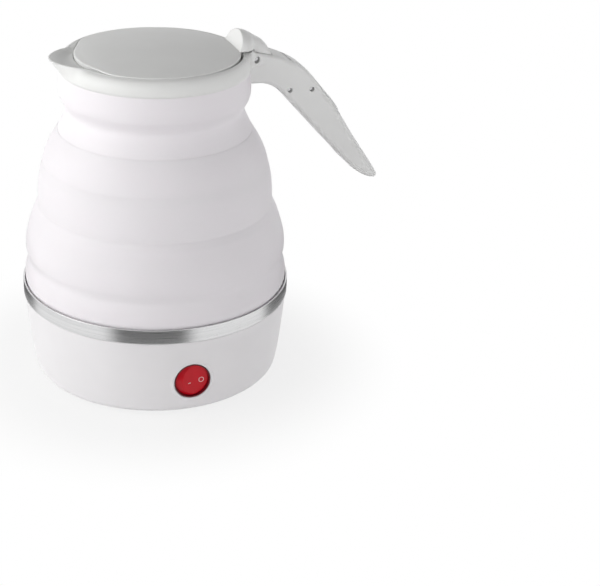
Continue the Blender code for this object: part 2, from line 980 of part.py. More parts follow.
def base_bellows():
    """The lowest silicone zone: a skirt inside the band, one bulge, a groove and the lip above it."""
    skirt = base_bore + silicone_wall
    bulge = band_radius - lower_bulge_inset
    groove = band_radius - groove_inset_outer
    lip = groove + base_wall_lip_swell
    outer = [
        (groove + (bulge - groove) * (1 - share**3), band_top + gap + (lower_groove - band_top - gap) * share)
        for share in (1.0, 0.8, 0.55, 0.25, 0.0)
    ]
    upper = [
        (groove + (lip - groove) * (1 - (1 - share) ** 3), lower_groove + base_wall_lip_height * share)
        for share in (0.8, 0.35)
    ]
    outline = (
        [(lip - ring_edge, base_lip)]
        + upper
        + outer
        + [(skirt, band_top), (skirt, skirt_low), (base_bore, skirt_low)]
        + [(base_bore, base_lip - ring_edge), (base_bore + ring_edge, base_lip)]
    )
    turned("silicone_base_wall", outline, silicone)


def bellows_ring(name, radius, taper, wall, power, low, top):
    """A zone of the bellows: widest at its foot, and drawn in at its lip so that the next slides through."""
    lip = radius - taper
    high = lip + wall
    shares = (1.0, 0.85, 0.6, 0.0)
    side = [(radius - (radius - high) * share**power, low + (top - ring_edge - low) * share) for share in shares]
    inner = [(point_radius - wall, height) for point_radius, height in side[::-1]]
    outline = [(high - ring_edge, top)] + side + inner + [(lip + ring_edge / 2, top)]
    turned(name, outline, silicone)


def bellows():
    base_bellows()
    bellows_ring(
        "silicone_ring_low",
        low_ring_radius,
        low_ring_taper,
        low_ring_wall,
        low_ring_power,
        base_lip - ring_overlap,
        low_lip,
    )
    bellows_ring(
        "silicone_ring_middle",
        middle_ring_radius,
        middle_ring_taper,
        middle_ring_wall,
        middle_ring_power,
        low_lip - ring_overlap,
        middle_lip,
    )
    bellows_ring(
        "silicone_ring_high",
        high_ring_radius,
        high_ring_taper,
        high_ring_wall,
        high_ring_power,
        middle_lip - ring_overlap,
        high_lip,
    )
    neck_bellows()


def neck_side(share):
    """How far the neck swells out from the waist, by its share of the neck's height."""
    return neck_swell * math.sin(math.pi * neck_swell_share * share) ** neck_swell_power


def neck_bellows():
    low = high_lip - ring_overlap
    bead = sleeve_radius + ring_gap
    bead_low = sleeve_low - clamp_flange_height - gap - gap
    neck = [
        (waist_radius + neck_side(share), waist + neck_height * share)
        for share in (1.0, 0.8, 0.6, 0.35, 0.12)
    ]
    body = [
        (neck_radius - waist_taper * share**waist_power, low + (waist - low) * share)
        for share in (1.0, 0.7, 0.35, 0.0)
    ]
    inner = [(radius - neck_wall, height) for radius, height in body[::-1]]
    turned("silicone_neck", neck + body + inner + [(bead, bead_low), (bead, neck_top)], silicone)
    flange_low = sleeve_low - gap - clamp_flange_height
    bore = clamp_sleeve_radius - clamp_sleeve_wall
    turned(
        "neck_clamp_ring",
        [
            (clamp_sleeve_radius, clamp_top),
            (clamp_sleeve_radius, sleeve_low - gap),
            (sleeve_radius, sleeve_low - gap),
            (sleeve_radius, flange_low),
            (bore, flange_low),
            (bore, clamp_top),
        ],
        grey_plastic,
    )


# Collar, pouring lip and handle


def loft(name, sections, material):
    """A closed solid through sections that have the same number of points."""
    work = bmesh.new()
    rows = [[work.verts.new(point) for point in section] for section in sections]
    count = len(rows[0])
    for first, second in zip(rows, rows[1:]):
        for index in range(count):
            after = (index + 1) % count
            work.faces.new((first[index], first[after], second[after], second[index]))
    work.faces.new(rows[0][::-1])
    work.faces.new(rows[-1])
    bmesh.ops.recalc_face_normals(work, faces=work.faces)
    mesh = bpy.data.meshes.new(name)
    work.to_mesh(mesh)
    work.free()
    smooth(mesh)
    return place(name, mesh, material)


def lip_radius(angle, rise, wall):
    """The wall of the pouring lip, measured from the axis: straight flanks that meet at a rounded tip."""
    flank_angle = math.acos((collar_radius - collar_edge) / lip_reach)
    flank = (collar_radius - collar_edge) / math.cos(max(flank_angle - abs(angle), 0.0))
    tip = lip_reach - lip_wall * (1 - math.cos(angle)) * 3
    reach = min(flank, tip) - collar_radius + collar_edge
    return collar_radius - collar_edge / 2 + reach * rise - wall


def lip_wedge(name, low, top_rise, wall, inner_radius, half_angle):
    """The solid of the pouring lip, or with a wall the channel that is cut from it."""
    sections = []
    for level in range(lip_levels):
        share = level / (lip_levels - 1)
        outer, inner = [], []
        for column in range(lip_columns + 1):
            angle = half_angle * (2 * column / lip_columns - 1)
            crest = math.cos(angle * math.pi / 2 / half_angle)
            z = low + (rim_top - collar_edge + (lip_rise + collar_edge) * crest + top_rise - low) * share
            radius = lip_radius(angle, share**0.8, wall)
            outer.append((-radius * math.cos(angle), radius * math.sin(angle), z))
            inner.append((-inner_radius * math.cos(angle), inner_radius * math.sin(angle), z))
        sections.append(outer + inner[::-1])
    return loft(name, sections, None)


def handle_point(shares):
    """A place on the handle, in X and Z, from its shares of the reach and the drop."""
    return (collar_radius + handle_reach * shares[0], rim_top - handle_drop * shares[1])


def line_at(points, x):
    """The height of a line of points at X."""
    for (x0, z0), (x1, z1) in zip(points, points[1:]):
        if x0 <= x <= x1:
            return z0 + (z1 - z0) * (x - x0) / (x1 - x0)
    return points[-1][1] if x > points[-1][0] else points[0][1]


def shifted(points, distance):
    """The same line moved sideways: up for a positive distance on a line that runs to the right."""
    moved = []
    for index, (x, z) in enumerate(points):
        before = points[max(index - 1, 0)]
        after = points[min(index + 1, len(points) - 1)]
        dx, dz = after[0] - before[0], after[1] - before[1]
        length = math.hypot(dx, dz)
        moved.append((x - dz / length * distance, z + dx / length * distance))
    return moved


def between(points, x_low, x_high):
    """The stretch of a line between two places in X, with its ends."""
    inside = [(x, z) for x, z in points if x_low + weld < x < x_high - weld]
    return [(x_low, line_at(points, x_low))] + inside + [(x_high, line_at(points, x_high))]


handle_top = [handle_point(shares) for shares in handle_top_shares]
handle_under = [handle_point(shares) for shares in handle_under_shares]
hinge_place = handle_point(hinge_shares)
lever_pivot = handle_point(lever_pivot_shares)
stop_pin_place = handle_point(stop_pin_shares)


def share_x(share):
    return collar_radius + handle_reach * share


def bar_place(share):
    """Where a cross bar sits inside the handle: just clear of the cover's inner face."""
    distance = cover_plate_thickness + bar_standoff + bar_radius
    inner = shifted(handle_under, distance)
    x = share_x(share)
    return (x, line_at(inner, x))


def crosswise(name, at, radius, half_width, material, sides=small_sides):
    x, z = at
    return rod(name, (x, -half_width, z), (x, half_width, z), radius, material, sides)


def collar_and_handle():
    sleeve_in = sleeve_radius - sleeve_wall
    collar = turned(
        "collar_and_handle",
        [
            (collar_radius - collar_edge, rim_top),
            (collar_radius, rim_top - collar_edge),
            (collar_radius, collar_low + collar_edge),
            (collar_radius - collar_edge, collar_low),
            (sleeve_radius, collar_low),
            (sleeve_radius, sleeve_low),
            (sleeve_in, sleeve_low),
            (sleeve_in, lid_seat),
            (lid_seat_radius, lid_seat),
            (lid_seat_radius, rim_top),
        ],
        grey_plastic,
    )
    start = collar_radius - root_inset
    outline = [(start, handle_top[0][1])] + handle_top + handle_under[::-1] + [(start, handle_under[0][1])]
    arm = slab("handle_arm", outline, handle_half_width, None)
    rounding = arm.modifiers.new("rounding", "BEVEL")
    rounding.width = handle_round
    rounding.segments = 2
    rounding.limit_method = "ANGLE"
    rounding.angle_limit = math.radians(60)
    clean = arm.modifiers.new("clean", "WELD")
    clean.merge_threshold = weld
    clear = collar_radius + gap + gap
    neck_room = rod(
        "neck_room", (0.0, 0.0, waist), (0.0, 0.0, collar_low + gap), clear, None, large_sides
    )
    cut(arm, neck_room)
    wedge = lip_wedge(
        "lip_wedge", collar_low, 0.0, 0.0, lid_seat_radius + lip_wall / 2, lip_root_angle
    )
    join(collar, arm, wedge)
    channel = lip_wedge(
        "lip_channel",
        collar_low + lip_floor,
        overrun,
        lip_wall,
        clamp_sleeve_radius - clamp_sleeve_wall,
        lip_root_angle * 4 / 5,
    )
    relief = rod(
        "lid_relief",
        (lid_seat_shift, 0.0, lid_seat + gap),
        (lid_seat_shift, 0.0, rim_top + overrun),
        lid_seat_radius,
        None,
        large_sides,
    )
    cut(collar, channel, relief)
    boss_room = crosswise("boss_room", lever_pivot, lever_boss_radius + gap, cavity_half_width, None)
    cut(collar, handle_cavity(), boss_room, *hinge_slots())
    cut(collar, crosswise("hinge_hole", hinge_place, hinge_pin_radius + gap, handle_half_width + overrun, None))
    for name, at in (("lever_hole", lever_pivot), ("stop_hole", stop_pin_place)):
        cut(collar, crosswise(name, at, lever_pin_radius + gap, handle_half_width + overrun, None))
    for index, share in enumerate(bar_shares):
        bar = crosswise(f"handle_bar_{index}", bar_place(share), bar_radius, cavity_half_width + handle_wall / 2, None)
        join(collar, bar)
        cut(collar, handle_screw_hole(index))
    return collar


def handle_cavity():
    """The hollow inside the handle, open on top for the lever and below for the cover."""
    roof = shifted(handle_top, -roof_wall)
    floor = shifted(handle_under, handle_wall)
    outside = shifted(handle_under, -overrun)
    roof_start = share_x(roof_start_share)
    lever_start = share_x(lever_start_share) - gap - gap
    lever_end = share_x(lever_end_share) + gap + gap
    cover_start, cover_end = share_x(cover_start_share), share_x(cover_end_share)
    above = shifted(handle_top, overrun)
    lever_depth = share_x(lever_start_share)
    outline = (
        [(hinge_place[0], line_at(floor, hinge_place[0]) + gap)]
        + between(floor, hinge_place[0] + gap, cover_start)[1:]
        + between(outside, cover_start + weld, cover_end)
        + [(cover_end + handle_wall, line_at(roof, cover_end + handle_wall))]
        + between(roof, lever_end + handle_wall, cover_end)[::-1]
        + between(above, lever_start, lever_end)[::-1]
        + between(roof, roof_start, lever_depth - gap - gap - gap)[::-1]
        + [(roof_start, line_at(handle_top, roof_start) + overrun)]
        + [(hinge_place[0] + drum_radius / 2, line_at(handle_top, hinge_place[0]) + overrun)]
    )
    return slab("handle_cavity", outline, cavity_half_width, None)


def hinge_slots():
    """Room for the lid's drum to turn, open at the top of the handle root."""
    x, z = hinge_place
    reach = drum_radius + slot_clearance
    low_reach = barrel_radius + slot_clearance
    count = 10
    sweep = [
        (x + reach * math.sin(math.pi * index / count / 2 * 2), z - reach * math.cos(math.pi * index / count / 2 * 2))
        for index in range(count // 2 + 1)
    ]
    top = rim_top + overrun
    outline = [(x - gap, z - reach)] + sweep + [(x + slot_length, z)] + [(x + slot_length, top)] + [(x - gap, top)]
    wide = slab("drum_slot", outline, slot_half_width, None)
    barrel = [
        (x - low_reach * math.sin(math.pi * index / count), z - low_reach * math.cos(math.pi * index / count))
        for index in range(count // 2 + 1)
    ]
    near = slab(
        "barrel_slot",
        [(x + gap, z - low_reach)] + [(x + gap, top)] + [(lid_seat_radius - root_inset, top)]
        + [(lid_seat_radius - root_inset, lid_seat)] + [(x - low_reach, lid_seat)] + barrel[::-1],
        slot_half_width,
        None,
    )
    return wide, near


def handle_screw_line(index):
    """The start and direction of a cover screw, square to the handle's underside."""
    share = bar_shares[index]
    x, z = bar_place(share)
    step = handle_reach / 50
    inner = shifted(handle_under, cover_plate_thickness)
    dz = line_at(inner, x + step) - line_at(inner, x - step)
    across = Vector((-dz, 0.0, 2 * step)).normalized()
    distance = cover_plate_thickness + bar_standoff + bar_radius
    return Vector((x, 0.0, z)) - across * distance, across


def handle_screw_hole(index):
    start, across = handle_screw_line(index)
    end = start + across * (handle_screw_head + gap + gap + handle_screw_length + gap)
    return rod(f"handle_screw_hole_{index}", start, end, handle_screw_radius + gap, None, screw_sides)


def handle_cover():
    cover_start = share_x(cover_start_share) + ring_gap
    cover_end = share_x(cover_end_share) - ring_gap
    outer = between(handle_under, cover_start, cover_end)
    inner = between(shifted(handle_under, cover_plate_thickness), cover_start, cover_end)
    cover = slab("handle_cover", outer + inner[::-1], cavity_half_width - gap, grey_plastic)
    for index in range(len(bar_shares)):
        start, across = handle_screw_line(index)
        seat_depth = handle_screw_head + gap
        seat = rod(
            f"handle_head_seat_{index}",
            start - across * overrun,
            start + across * seat_depth,
            handle_screw_head_radius + gap,
            None,
            screw_sides,
        )
        hole = rod(
            f"handle_cover_hole_{index}",
            start,
            start + across * (cover_plate_thickness + overrun),
            handle_screw_radius + gap,
            None,
            screw_sides,
        )
        cut(cover, seat, hole)
        screw(
            f"handle_screw_{index + 1}",
            start,
            across,
            handle_screw_length,
            handle_screw_head_radius,
            handle_screw_radius,
            handle_screw_head,
        )


# Lid


def lid():
    edge_low = lid_seat + ring_gap
    edge_top = edge_low + lid_edge_height
    dome_top = edge_top + lid_dome
    inner = lid_radius - lid_rim_width
    rim = lid_wall / 4
    outline = [
        (0.0, dome_top),
        (lid_radius / 3, dome_top - lid_dome / 9),
        (lid_radius * 2 / 3, dome_top - lid_dome * 4 / 9),
        (lid_radius - rim, edge_top),
        (lid_radius, edge_top - rim),
        (lid_radius, edge_low),
        (inner, edge_low),
        (inner, edge_top - lid_wall / 2),
        (lid_radius / 2, dome_top - lid_dome / 4 - lid_wall),
        (0.0, dome_top - lid_wall),
    ]
    cap = turned("lid", outline, grey_plastic)
    for side in (-1, 1):
        x = side * lid_boss_place
        boss = rod(
            f"lid_boss_{side + 1}",
            (x, 0.0, lid_seat - lid_wall / 4),
            (x, 0.0, edge_top),
            lid_boss_radius,
            None,
        )
        hole = rod(
            f"lid_boss_hole_{side + 1}",
            (x, 0.0, lid_seat - lid_wall / 4 - overrun),
            (x, 0.0, edge_top - lid_wall / 4),
            handle_screw_radius + gap,
            None,
        )
        join(cap, boss)
        cut(cap, hole)
    join(cap, knuckle(edge_low), hinge_arm(edge_low, edge_top))
    cut(cap, crosswise("lid_pin_hole", hinge_place, hinge_pin_radius + gap, knuckle_radius + overrun, None))
    return cap


def knuckle(edge_low):
    """The half dome beside the handle: round behind and leaning flat in front."""
    level = lid_seat + lid_edge_height
    work = bmesh.new()
    bmesh.ops.create_uvsphere(work, u_segments=hidden_sides, v_segments=small_sides, radius=1.0)
    bmesh.ops.scale(work, vec=(knuckle_radius, knuckle_radius, knuckle_height), verts=work.verts)
    mesh = bpy.data.meshes.new("knuckle")
    work.to_mesh(mesh)
    work.free()
    smooth(mesh)
    dome = place("knuckle", mesh, None)
    dome.location = (knuckle_centre, 0.0, level)
    size = knuckle_radius * 3
    front = block("knuckle_front", (-size, -size, -size), (0.0, size, size), None)
    lean = Matrix.Rotation(knuckle_lean, 4, "Y")
    front.matrix_world = (
        Matrix.Translation((knuckle_front, 0.0, level)) @ lean @ Matrix.Translation((-size / 2, 0.0, 0.0))
    )
    below = block("knuckle_below", (0.0, -size, level - size), (size * 2, size, rim_top + gap + gap), None)
    cut(dome, front, below)
    trims = []
    for side in (-1, 1):
        near = side * (drum_half_width - gap / 3)
        far = side * (handle_half_width + gap + gap)
        x, z = hinge_place
        trim = block(
            f"knuckle_trim_{side + 1}",
            (x + knuckle_undercut_start, min(near, far), rim_top - overrun),
            (x + knuckle_radius, max(near, far), rim_top + knuckle_undercut),
            None,
        )
        trims.append(trim)
    return cut(dome, *trims)


def hinge_arm(edge_low, edge_top):
    """The arm from the lid over the rim to the pin, with the drum that closes the handle's slot."""
    x, z = hinge_place
    reach = drum_radius
    low = -drum_lower_angle
    high = drum_upper_angle
    count = 3
    drum = [
        (x + reach * math.cos(low + (high - low) * index / count), z + reach * math.sin(low + (high - low) * index / count))
        for index in range(count + 1)
    ]
    barrel = [
        (x + barrel_radius * math.cos(turn), z + barrel_radius * math.sin(turn))
        for turn in (math.pi, math.pi * 7 / 6, math.pi * 4 / 3, math.pi * 3 / 2, math.pi * 5 / 3, 2 * math.pi + low)
    ]
    start = lid_radius - lid_rim_width / 2
    arm_top = rim_top + hinge_arm_rise
    hidden = [(x + reach / 2, z + reach / 3), (x + reach / 5, arm_top), (start, arm_top)]
    outline = drum + hidden + [(start, edge_low), (x - barrel_radius, edge_low)] + barrel
    return slab("hinge_arm", outline, drum_half_width, None)


def lid_inside():
    edge_low = lid_seat + ring_gap
    top = edge_low + lid_edge_height - lid_wall / 2 - gap
    low = top - plate_wall_height
    inner = plate_radius - plate_wall_width
    plate = turned(
        "lid_inner_plate",
        [
            (0.0, low + plate_thickness),
            (inner, low + plate_thickness),
            (inner, top),
            (plate_radius, top),
            (plate_radius, low),
            (0.0, low),
        ],
        grey_plastic,
    )
    seal_low = low + ring_gap
    bore = plate_radius + gap
    turned(
        "lid_seal",
        [
            (bore + lid_seal_width, seal_low + lid_seal_height),
            (bore + lid_seal_width, seal_low + lid_seal_height / 2),
            (bore + lid_seal_width / 2, seal_low),
            (bore, seal_low),
            (bore, seal_low + lid_seal_height),
        ],
        clear_silicone,
    )
    for index, side in enumerate((-1, 1)):
        x = side * lid_boss_place
        hole = rod(
            f"plate_hole_{index}", (x, 0.0, low - overrun), (x, 0.0, top), handle_screw_radius + gap, None
        )
        cut(plate, hole)
        screw(
            f"lid_screw_{index + 1}",
            (x, 0.0, low - gap - handle_screw_head),
            (0.0, 0.0, 1.0),
            lid_screw_length,
            handle_screw_head_radius,
            handle_screw_radius,
            handle_screw_head,
        )


def pins():
    half = handle_half_width - pin_recess
    crosswise("lid_hinge_pin", hinge_place, hinge_pin_radius, half, plain_steel)
    crosswise("lever_pin", lever_pivot, lever_pin_radius, half, plain_steel)
    crosswise("lever_stop_pin", stop_pin_place, lever_pin_radius, half, plain_steel)


def release_lever():
    start, end = share_x(lever_start_share), share_x(lever_end_share)
    count = 7
    upper, lower = [], []
    under = shifted(handle_top, -lever_plate)
    for index in range(count + 1):
        share = index / count
        x = start + (end - start) * share
        upper.append((x, line_at(handle_top, x) + lever_proud * share * 3 / 2))
        lower.append((x, line_at(under, x)))
    lever = slab("release_lever", upper + lower[::-1], lever_half_width, grey_plastic)
    middle = shifted(handle_top, -lever_plate / 2)
    web_top = [(share_x(share), line_at(middle, share_x(share))) for share in lever_web_top_shares]
    arm = [handle_point(shares) for shares in lever_arm_shares]
    roof = [handle_point(shares) for shares in lever_arm_roof_shares]
    web = slab("lever_web", arm + web_top + roof, lever_web_half_width, None)
    boss = crosswise("lever_boss", lever_pivot, lever_boss_radius, lever_boss_half_width, None)
    join(lever, web, boss)
    cut(lever, crosswise("lever_bore", lever_pivot, lever_pin_radius + gap, handle_half_width, None))
    cut(lever, crosswise("stop_bore", stop_pin_place, stop_hole_radius, handle_half_width, None))


def lever_spring():
    """A small coil between the front cross bar and the underside of the lever."""
    bar_x, bar_z = bar_place(bar_shares[0])
    under = shifted(handle_top, -lever_plate)
    best = min(
        (math.hypot(x - bar_x, z - bar_z), x, z)
        for x, z in (
            (share_x(share / 100), line_at(under, share_x(share / 100)))
            for share in range(int(lever_start_share * 100), int(lever_end_share * 100))
        )
    )
    aim = Vector((best[1] - bar_x, 0.0, best[2] - bar_z)).normalized()
    start = Vector((bar_x, 0.0, bar_z)) + aim * (bar_radius + gap + spring_wire + spring_wire)
    end = Vector((best[1], 0.0, best[2])) - aim * (gap + spring_wire + spring_wire)
    side = Vector((0.0, 1.0, 0.0))
    other = aim.cross(side)
    count = spring_turns * spring_points_per_turn
    path = []
    for index in range(count + 1):
        angle = 2 * math.pi * index / spring_points_per_turn
        ring = side * math.cos(angle) + other * math.sin(angle)
        path.append(start.lerp(end, index / count) + ring * spring_radius)
    tube("lever_spring", path, spring_wire, plain_steel, 0)


base_shell()
base_cover()
steel_band()
heating_pan()
heating_element()
pan_clamp()
protectors()
switch()
inlet()
wires()
bellows()
collar_and_handle()
handle_cover()
lid()
lid_inside()
pins()
release_lever()
lever_spring()
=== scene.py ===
"""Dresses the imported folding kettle: bellows, rim and handle, lever, lid, base, band and switch,
a finish for every piece, and the stage on which the kettle stands."""

import math

import bmesh
import bpy
from mathutils import Matrix, Vector


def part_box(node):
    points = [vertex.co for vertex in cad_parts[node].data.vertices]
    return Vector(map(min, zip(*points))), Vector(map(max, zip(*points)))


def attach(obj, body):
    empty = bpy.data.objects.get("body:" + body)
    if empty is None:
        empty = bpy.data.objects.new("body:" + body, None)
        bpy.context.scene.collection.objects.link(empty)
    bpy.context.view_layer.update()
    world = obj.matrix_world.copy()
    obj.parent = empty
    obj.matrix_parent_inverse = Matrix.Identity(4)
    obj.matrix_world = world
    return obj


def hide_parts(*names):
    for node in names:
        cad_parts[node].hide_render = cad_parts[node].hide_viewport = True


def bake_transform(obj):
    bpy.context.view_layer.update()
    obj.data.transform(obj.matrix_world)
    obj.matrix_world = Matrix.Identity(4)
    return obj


bl_info = {
    "name": "Folding kettle",
    "version": (1, 0, 0),
    "blender": (4, 5, 0),
    "location": "3D View > Sidebar > Kettle",
    "description": "Dresses the packed folding kettle with its visible pieces, finishes and stage",
    "category": "Object",
}

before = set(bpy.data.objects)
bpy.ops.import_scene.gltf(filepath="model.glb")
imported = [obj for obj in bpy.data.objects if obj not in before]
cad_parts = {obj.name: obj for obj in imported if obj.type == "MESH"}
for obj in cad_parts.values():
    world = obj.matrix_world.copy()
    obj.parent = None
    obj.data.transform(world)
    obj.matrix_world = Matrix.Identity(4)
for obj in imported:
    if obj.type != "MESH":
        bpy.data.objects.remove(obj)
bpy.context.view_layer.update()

# One millimetre. Every size below is in millimetres unless its comment says otherwise.
MM = 0.001

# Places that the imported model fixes
BAND_LOW, BAND_TOP = (corner.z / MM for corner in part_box("steel_band"))
BAND_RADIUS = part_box("steel_band")[1].x / MM
LID_RADIUS = -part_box("lid")[0].x / MM
FEET_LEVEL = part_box("foot_1")[0].z / MM

# The bellows from below upward: outer side of each skin, then its lining, as radius and height.
# The upper edge of each skin runs out thin on the next one, so that the folds look soft.
LOWER_SKIN = [
    (62.3, 42.7), (62.0, 44.6), (61.9, 45.6), (62.25, 46.6), (62.4, 49.0), (62.0, 52.0),
    (61.1, 55.0), (60.5, 57.4), (60.7, 59.3), (61.35, 61.5), (61.5, 64.0), (61.1, 68.0),
    (60.1, 72.0), (58.9, 76.0), (57.9, 78.8), (57.0, 80.9), (56.15, 82.4), (55.45, 83.6),
    (54.95, 84.8),
]
LOWER_LINING = [
    (54.5, 84.7), (54.4, 83.0), (55.3, 80.0), (56.9, 77.0), (58.3, 73.0), (59.2, 67.0),
    (59.4, 62.0), (58.9, 57.5), (59.5, 50.0), (59.6, 45.0), (59.6, 42.7),
]
MIDDLE_SKIN = [
    (54.9, 79.9), (55.0, 82.3), (55.1, 86.0), (55.0, 91.0), (54.6, 95.3), (54.15, 98.3),
    (53.7, 100.4), (53.25, 102.0), (52.9, 103.4), (52.6, 104.7),
]
MIDDLE_LINING = [
    (52.2, 104.5), (52.3, 102.5), (52.7, 99.0), (53.2, 95.0), (53.5, 88.0), (53.4, 82.0),
    (53.3, 79.9),
]
HIGH_SKIN = [
    (52.6, 99.0), (52.75, 101.8), (52.6, 104.4), (51.9, 107.2), (50.8, 110.2), (49.5, 113.0),
    (48.3, 115.2), (47.2, 117.0), (46.3, 118.4), (45.6, 119.5), (45.1, 120.3),
]
HIGH_LINING = [
    (44.85, 120.1), (45.3, 118.2), (46.6, 114.6), (48.6, 110.5), (50.1, 106.5), (51.0, 102.5),
    (51.1, 99.0),
]
NECK_SKIN = [
    (45.8, 115.0), (45.8, 117.2), (45.2, 119.6), (44.0, 122.4), (42.6, 125.4), (41.45, 128.2),
    (41.0, 130.2), (41.5, 132.1), (42.6, 134.1), (43.6, 136.2), (44.1, 138.7), (44.1, 141.2),
    (43.8, 144.0), (43.5, 146.4), (43.35, 148.3),
]
NECK_LINING = [
    (40.7, 148.3), (40.6, 141.0), (40.4, 137.0), (39.3, 133.0), (39.0, 130.0), (39.8, 127.0),
    (41.2, 124.0), (43.0, 120.0), (44.1, 117.0), (44.1, 115.0),
]

# The rim: its own outline, the seat round the lid, wider at the handle, and the sleeve in the neck
RIM_RADIUS, RIM_LOW, RIM_TOP, RIM_ROLL, RIM_WALL = 44.0, 147.5, 155.5, 1.9, 0.55
# Shares of the way up its side, and shares of the way over its top edge with the drop at each
RIM_SIDE = (0.08, 0.2, 0.32, 0.44, 0.56, 0.67, 0.77, 0.85, 0.91, 0.955, 0.985)
RIM_EDGE = ((0.0, 0.22), (0.15, 0.07), (0.35, 0.0), (0.65, 0.0))
CLOSE_SEAT, WIDE_SEAT, SEAT_LEVEL = 39.36, 40.3, 152.9
SLEEVE_OUTSIDE, SLEEVE_INSIDE, SLEEVE_LOW = 40.2, 38.2, 141.0
# The pouring lip, how far its floor sinks towards the lid, and how far the lid draws back from it
LIP_ANGLE = math.radians(30)
LIP_REACH, LIP_RISE, LIP_WALL, LIP_SINK, LIP_TROUGH, LID_FRONT_CUT = 48.8, 0.6, 1.5, 1.3, 0.9, 2.6

# The handle, seen from the side: along and up
HANDLE_TOP = [
    (44.0, 154.9), (51.6, 153.0), (59.4, 150.6), (66.5, 147.4), (70.4, 144.9), (73.6, 141.7),
    (80.0, 134.0), (86.0, 126.5), (91.0, 119.2), (97.0, 109.6), (102.53, 101.2), (107.99, 93.1),
    (112.2, 86.7), (112.8, 85.3),
]
HANDLE_UNDER = [
    (112.1, 84.6), (110.9, 84.7), (109.02, 85.23), (104.53, 87.2), (99.49, 90.28), (94.51, 94.78),
    (90.78, 99.2), (82.97, 107.62), (76.62, 114.78), (69.77, 122.3), (63.97, 128.82),
    (58.99, 133.81), (54.5, 137.39), (50.01, 138.93), (44.0, 139.21),
]
HANDLE_HOLLOW = [
    (45.5, 141.64), (50.39, 141.1), (55.59, 139.3), (60.47, 135.44), (65.58, 130.33),
    (68.53, 127.0), (68.53, 120.69), (75.13, 113.45), (81.49, 106.28), (89.29, 97.86),
    (93.08, 93.38), (98.28, 88.69), (102.04, 86.38), (104.24, 95.58), (102.04, 98.86),
    (101.02, 100.39), (95.0, 109.0), (93.0, 112.4), (90.0, 117.4), (90.0, 124.0), (88.29, 128.3),
    (81.74, 136.1), (73.81, 144.5), (67.63, 149.2), (63.23, 151.6), (62.93, 146.51),
    (58.71, 148.72), (56.23, 149.54), (54.6, 149.9), (54.45, 153.2), (53.95, 154.6),
    (53.9, 156.9), (49.7, 156.55),
]
HANDLE_INSET, HOLLOW_HALF, HANDLE_SECTIONS = 41.4, 6.5, 44
# Its corners are even at the root and grow wider and deeper along this run, its lower ones don't
CORNERS_FROM, CORNERS_RUN, ROOT_CORNER, WIDER, DEEPER, LOW_CORNER = 58.0, 34.0, 2.0, 4.6, 1.8, 2.3
# Share of its length that its round end takes, and the least that the end narrows to, squared
END_SHARE, END_LEAST = 0.105, 0.012
# The flare on both sides of its root: four places that shape it in plan, then its heights
FLARE_SIDE = ((40.8, -16.5), (42.4, -12.3), (46.0, -9.05), (52.5, -8.98))
FLARE_BACK, FLARE_LOW, FLARE_TOP, FLARE_FALL, FLARE_ROUNDING = 38.0, 148.1, 155.3, 0.36, 1.5
# Room behind the rim for the lid's drum, and round the barrel on its pin
DRUM_SLOT = [
    (45.2, 142.6), (45.5, 142.6), (48.25, 143.03), (50.73, 144.3), (52.7, 146.27),
    (53.96, 148.75), (54.4, 151.5), (54.3, 153.0), (53.9, 154.5), (53.9, 157.5), (45.2, 157.5),
]
BARREL_SLOT = [
    (45.8, 147.9), (45.8, 157.5), (37.8, 157.5), (37.8, 152.9), (41.9, 152.9), (41.9, 151.5),
    (42.08, 150.39), (42.59, 149.38), (43.38, 148.59), (44.39, 148.07), (45.5, 147.9),
]

# The release lever: its web inside the handle, where its plate starts and ends, and its spring
LEVER_WEB = [
    (55.47, 148.13), (54.5, 148.34), (54.57, 146.94), (58.58, 141.53), (60.58, 137.11),
    (61.83, 135.49), (64.8, 133.39), (73.02, 130.58), (77.31, 132.61), (78.2, 134.98),
    (72.33, 140.63), (66.53, 145.49), (64.59, 146.66), (62.93, 143.99), (60.51, 144.62),
    (57.27, 146.58), (55.89, 147.57),
]
LEVER_START, LEVER_END, LEVER_HALF = 63.83, 89.7, 6.2
# Its plate: slant and thickness, how proud it lies, the lip at its end, and where that narrows
PLATE_SLANT, PLATE_DEPTH, PLATE_PROUD, PLATE_LIP, PLATE_TAPER = 0.9, 1.5, 0.15, 0.75, 0.86
LEVER_WEB_HALF, LEVER_BOSS, LEVER_BOSS_HALF, LEVER_BORE = 2.1, 2.1, 5.6, 1.3
COIL_ENDS = (83.91, 0.0, 120.53), (85.90, 0.0, 122.82)
COIL_RADIUS, COIL_WIRE, COIL_TURNS = 2.1, 0.3, 4

# The three pins across the handle: along and up
HINGE_PIN, LEVER_PIN, STOP_PIN = (45.5, 151.5), (63.0, 135.0), (73.99, 134.58)
PIN_RADIUS, PIN_HALF, PIN_HOLE, BOSS_ROOM = 1.0, 7.7, 1.15, 2.4
HINGE_HOLE, LID_HINGE_HOLE = 1.6, 1.55
# How far the tools that cut across the handle reach to both sides
PIN_REACH, DRUM_SLOT_HALF, BARREL_SLOT_HALF = 12.0, 7.4, 7.35

# The lid: its edge, the rise of its dish out to a radius, its underside
LID_EDGE, LID_DISH, DISH_RADIUS, LID_UNDER = 155.9, 2.6, 38.8, 153.3
# Its two screw bosses: how far from the middle, radius, lower and upper end, and their holes
BOSS_PLACE, BOSS_RADIUS, BOSS_LOW, BOSS_TOP = 19.99, 3.0, 152.4, 155.7
BOSS_HOLE, BOSS_HOLE_LOW, BOSS_HOLE_TOP = 1.3, 150.0, 155.4
# Its front is drawn in from this radius outward, in full this much further out
FRONT_START, FRONT_RUN = 30, 7
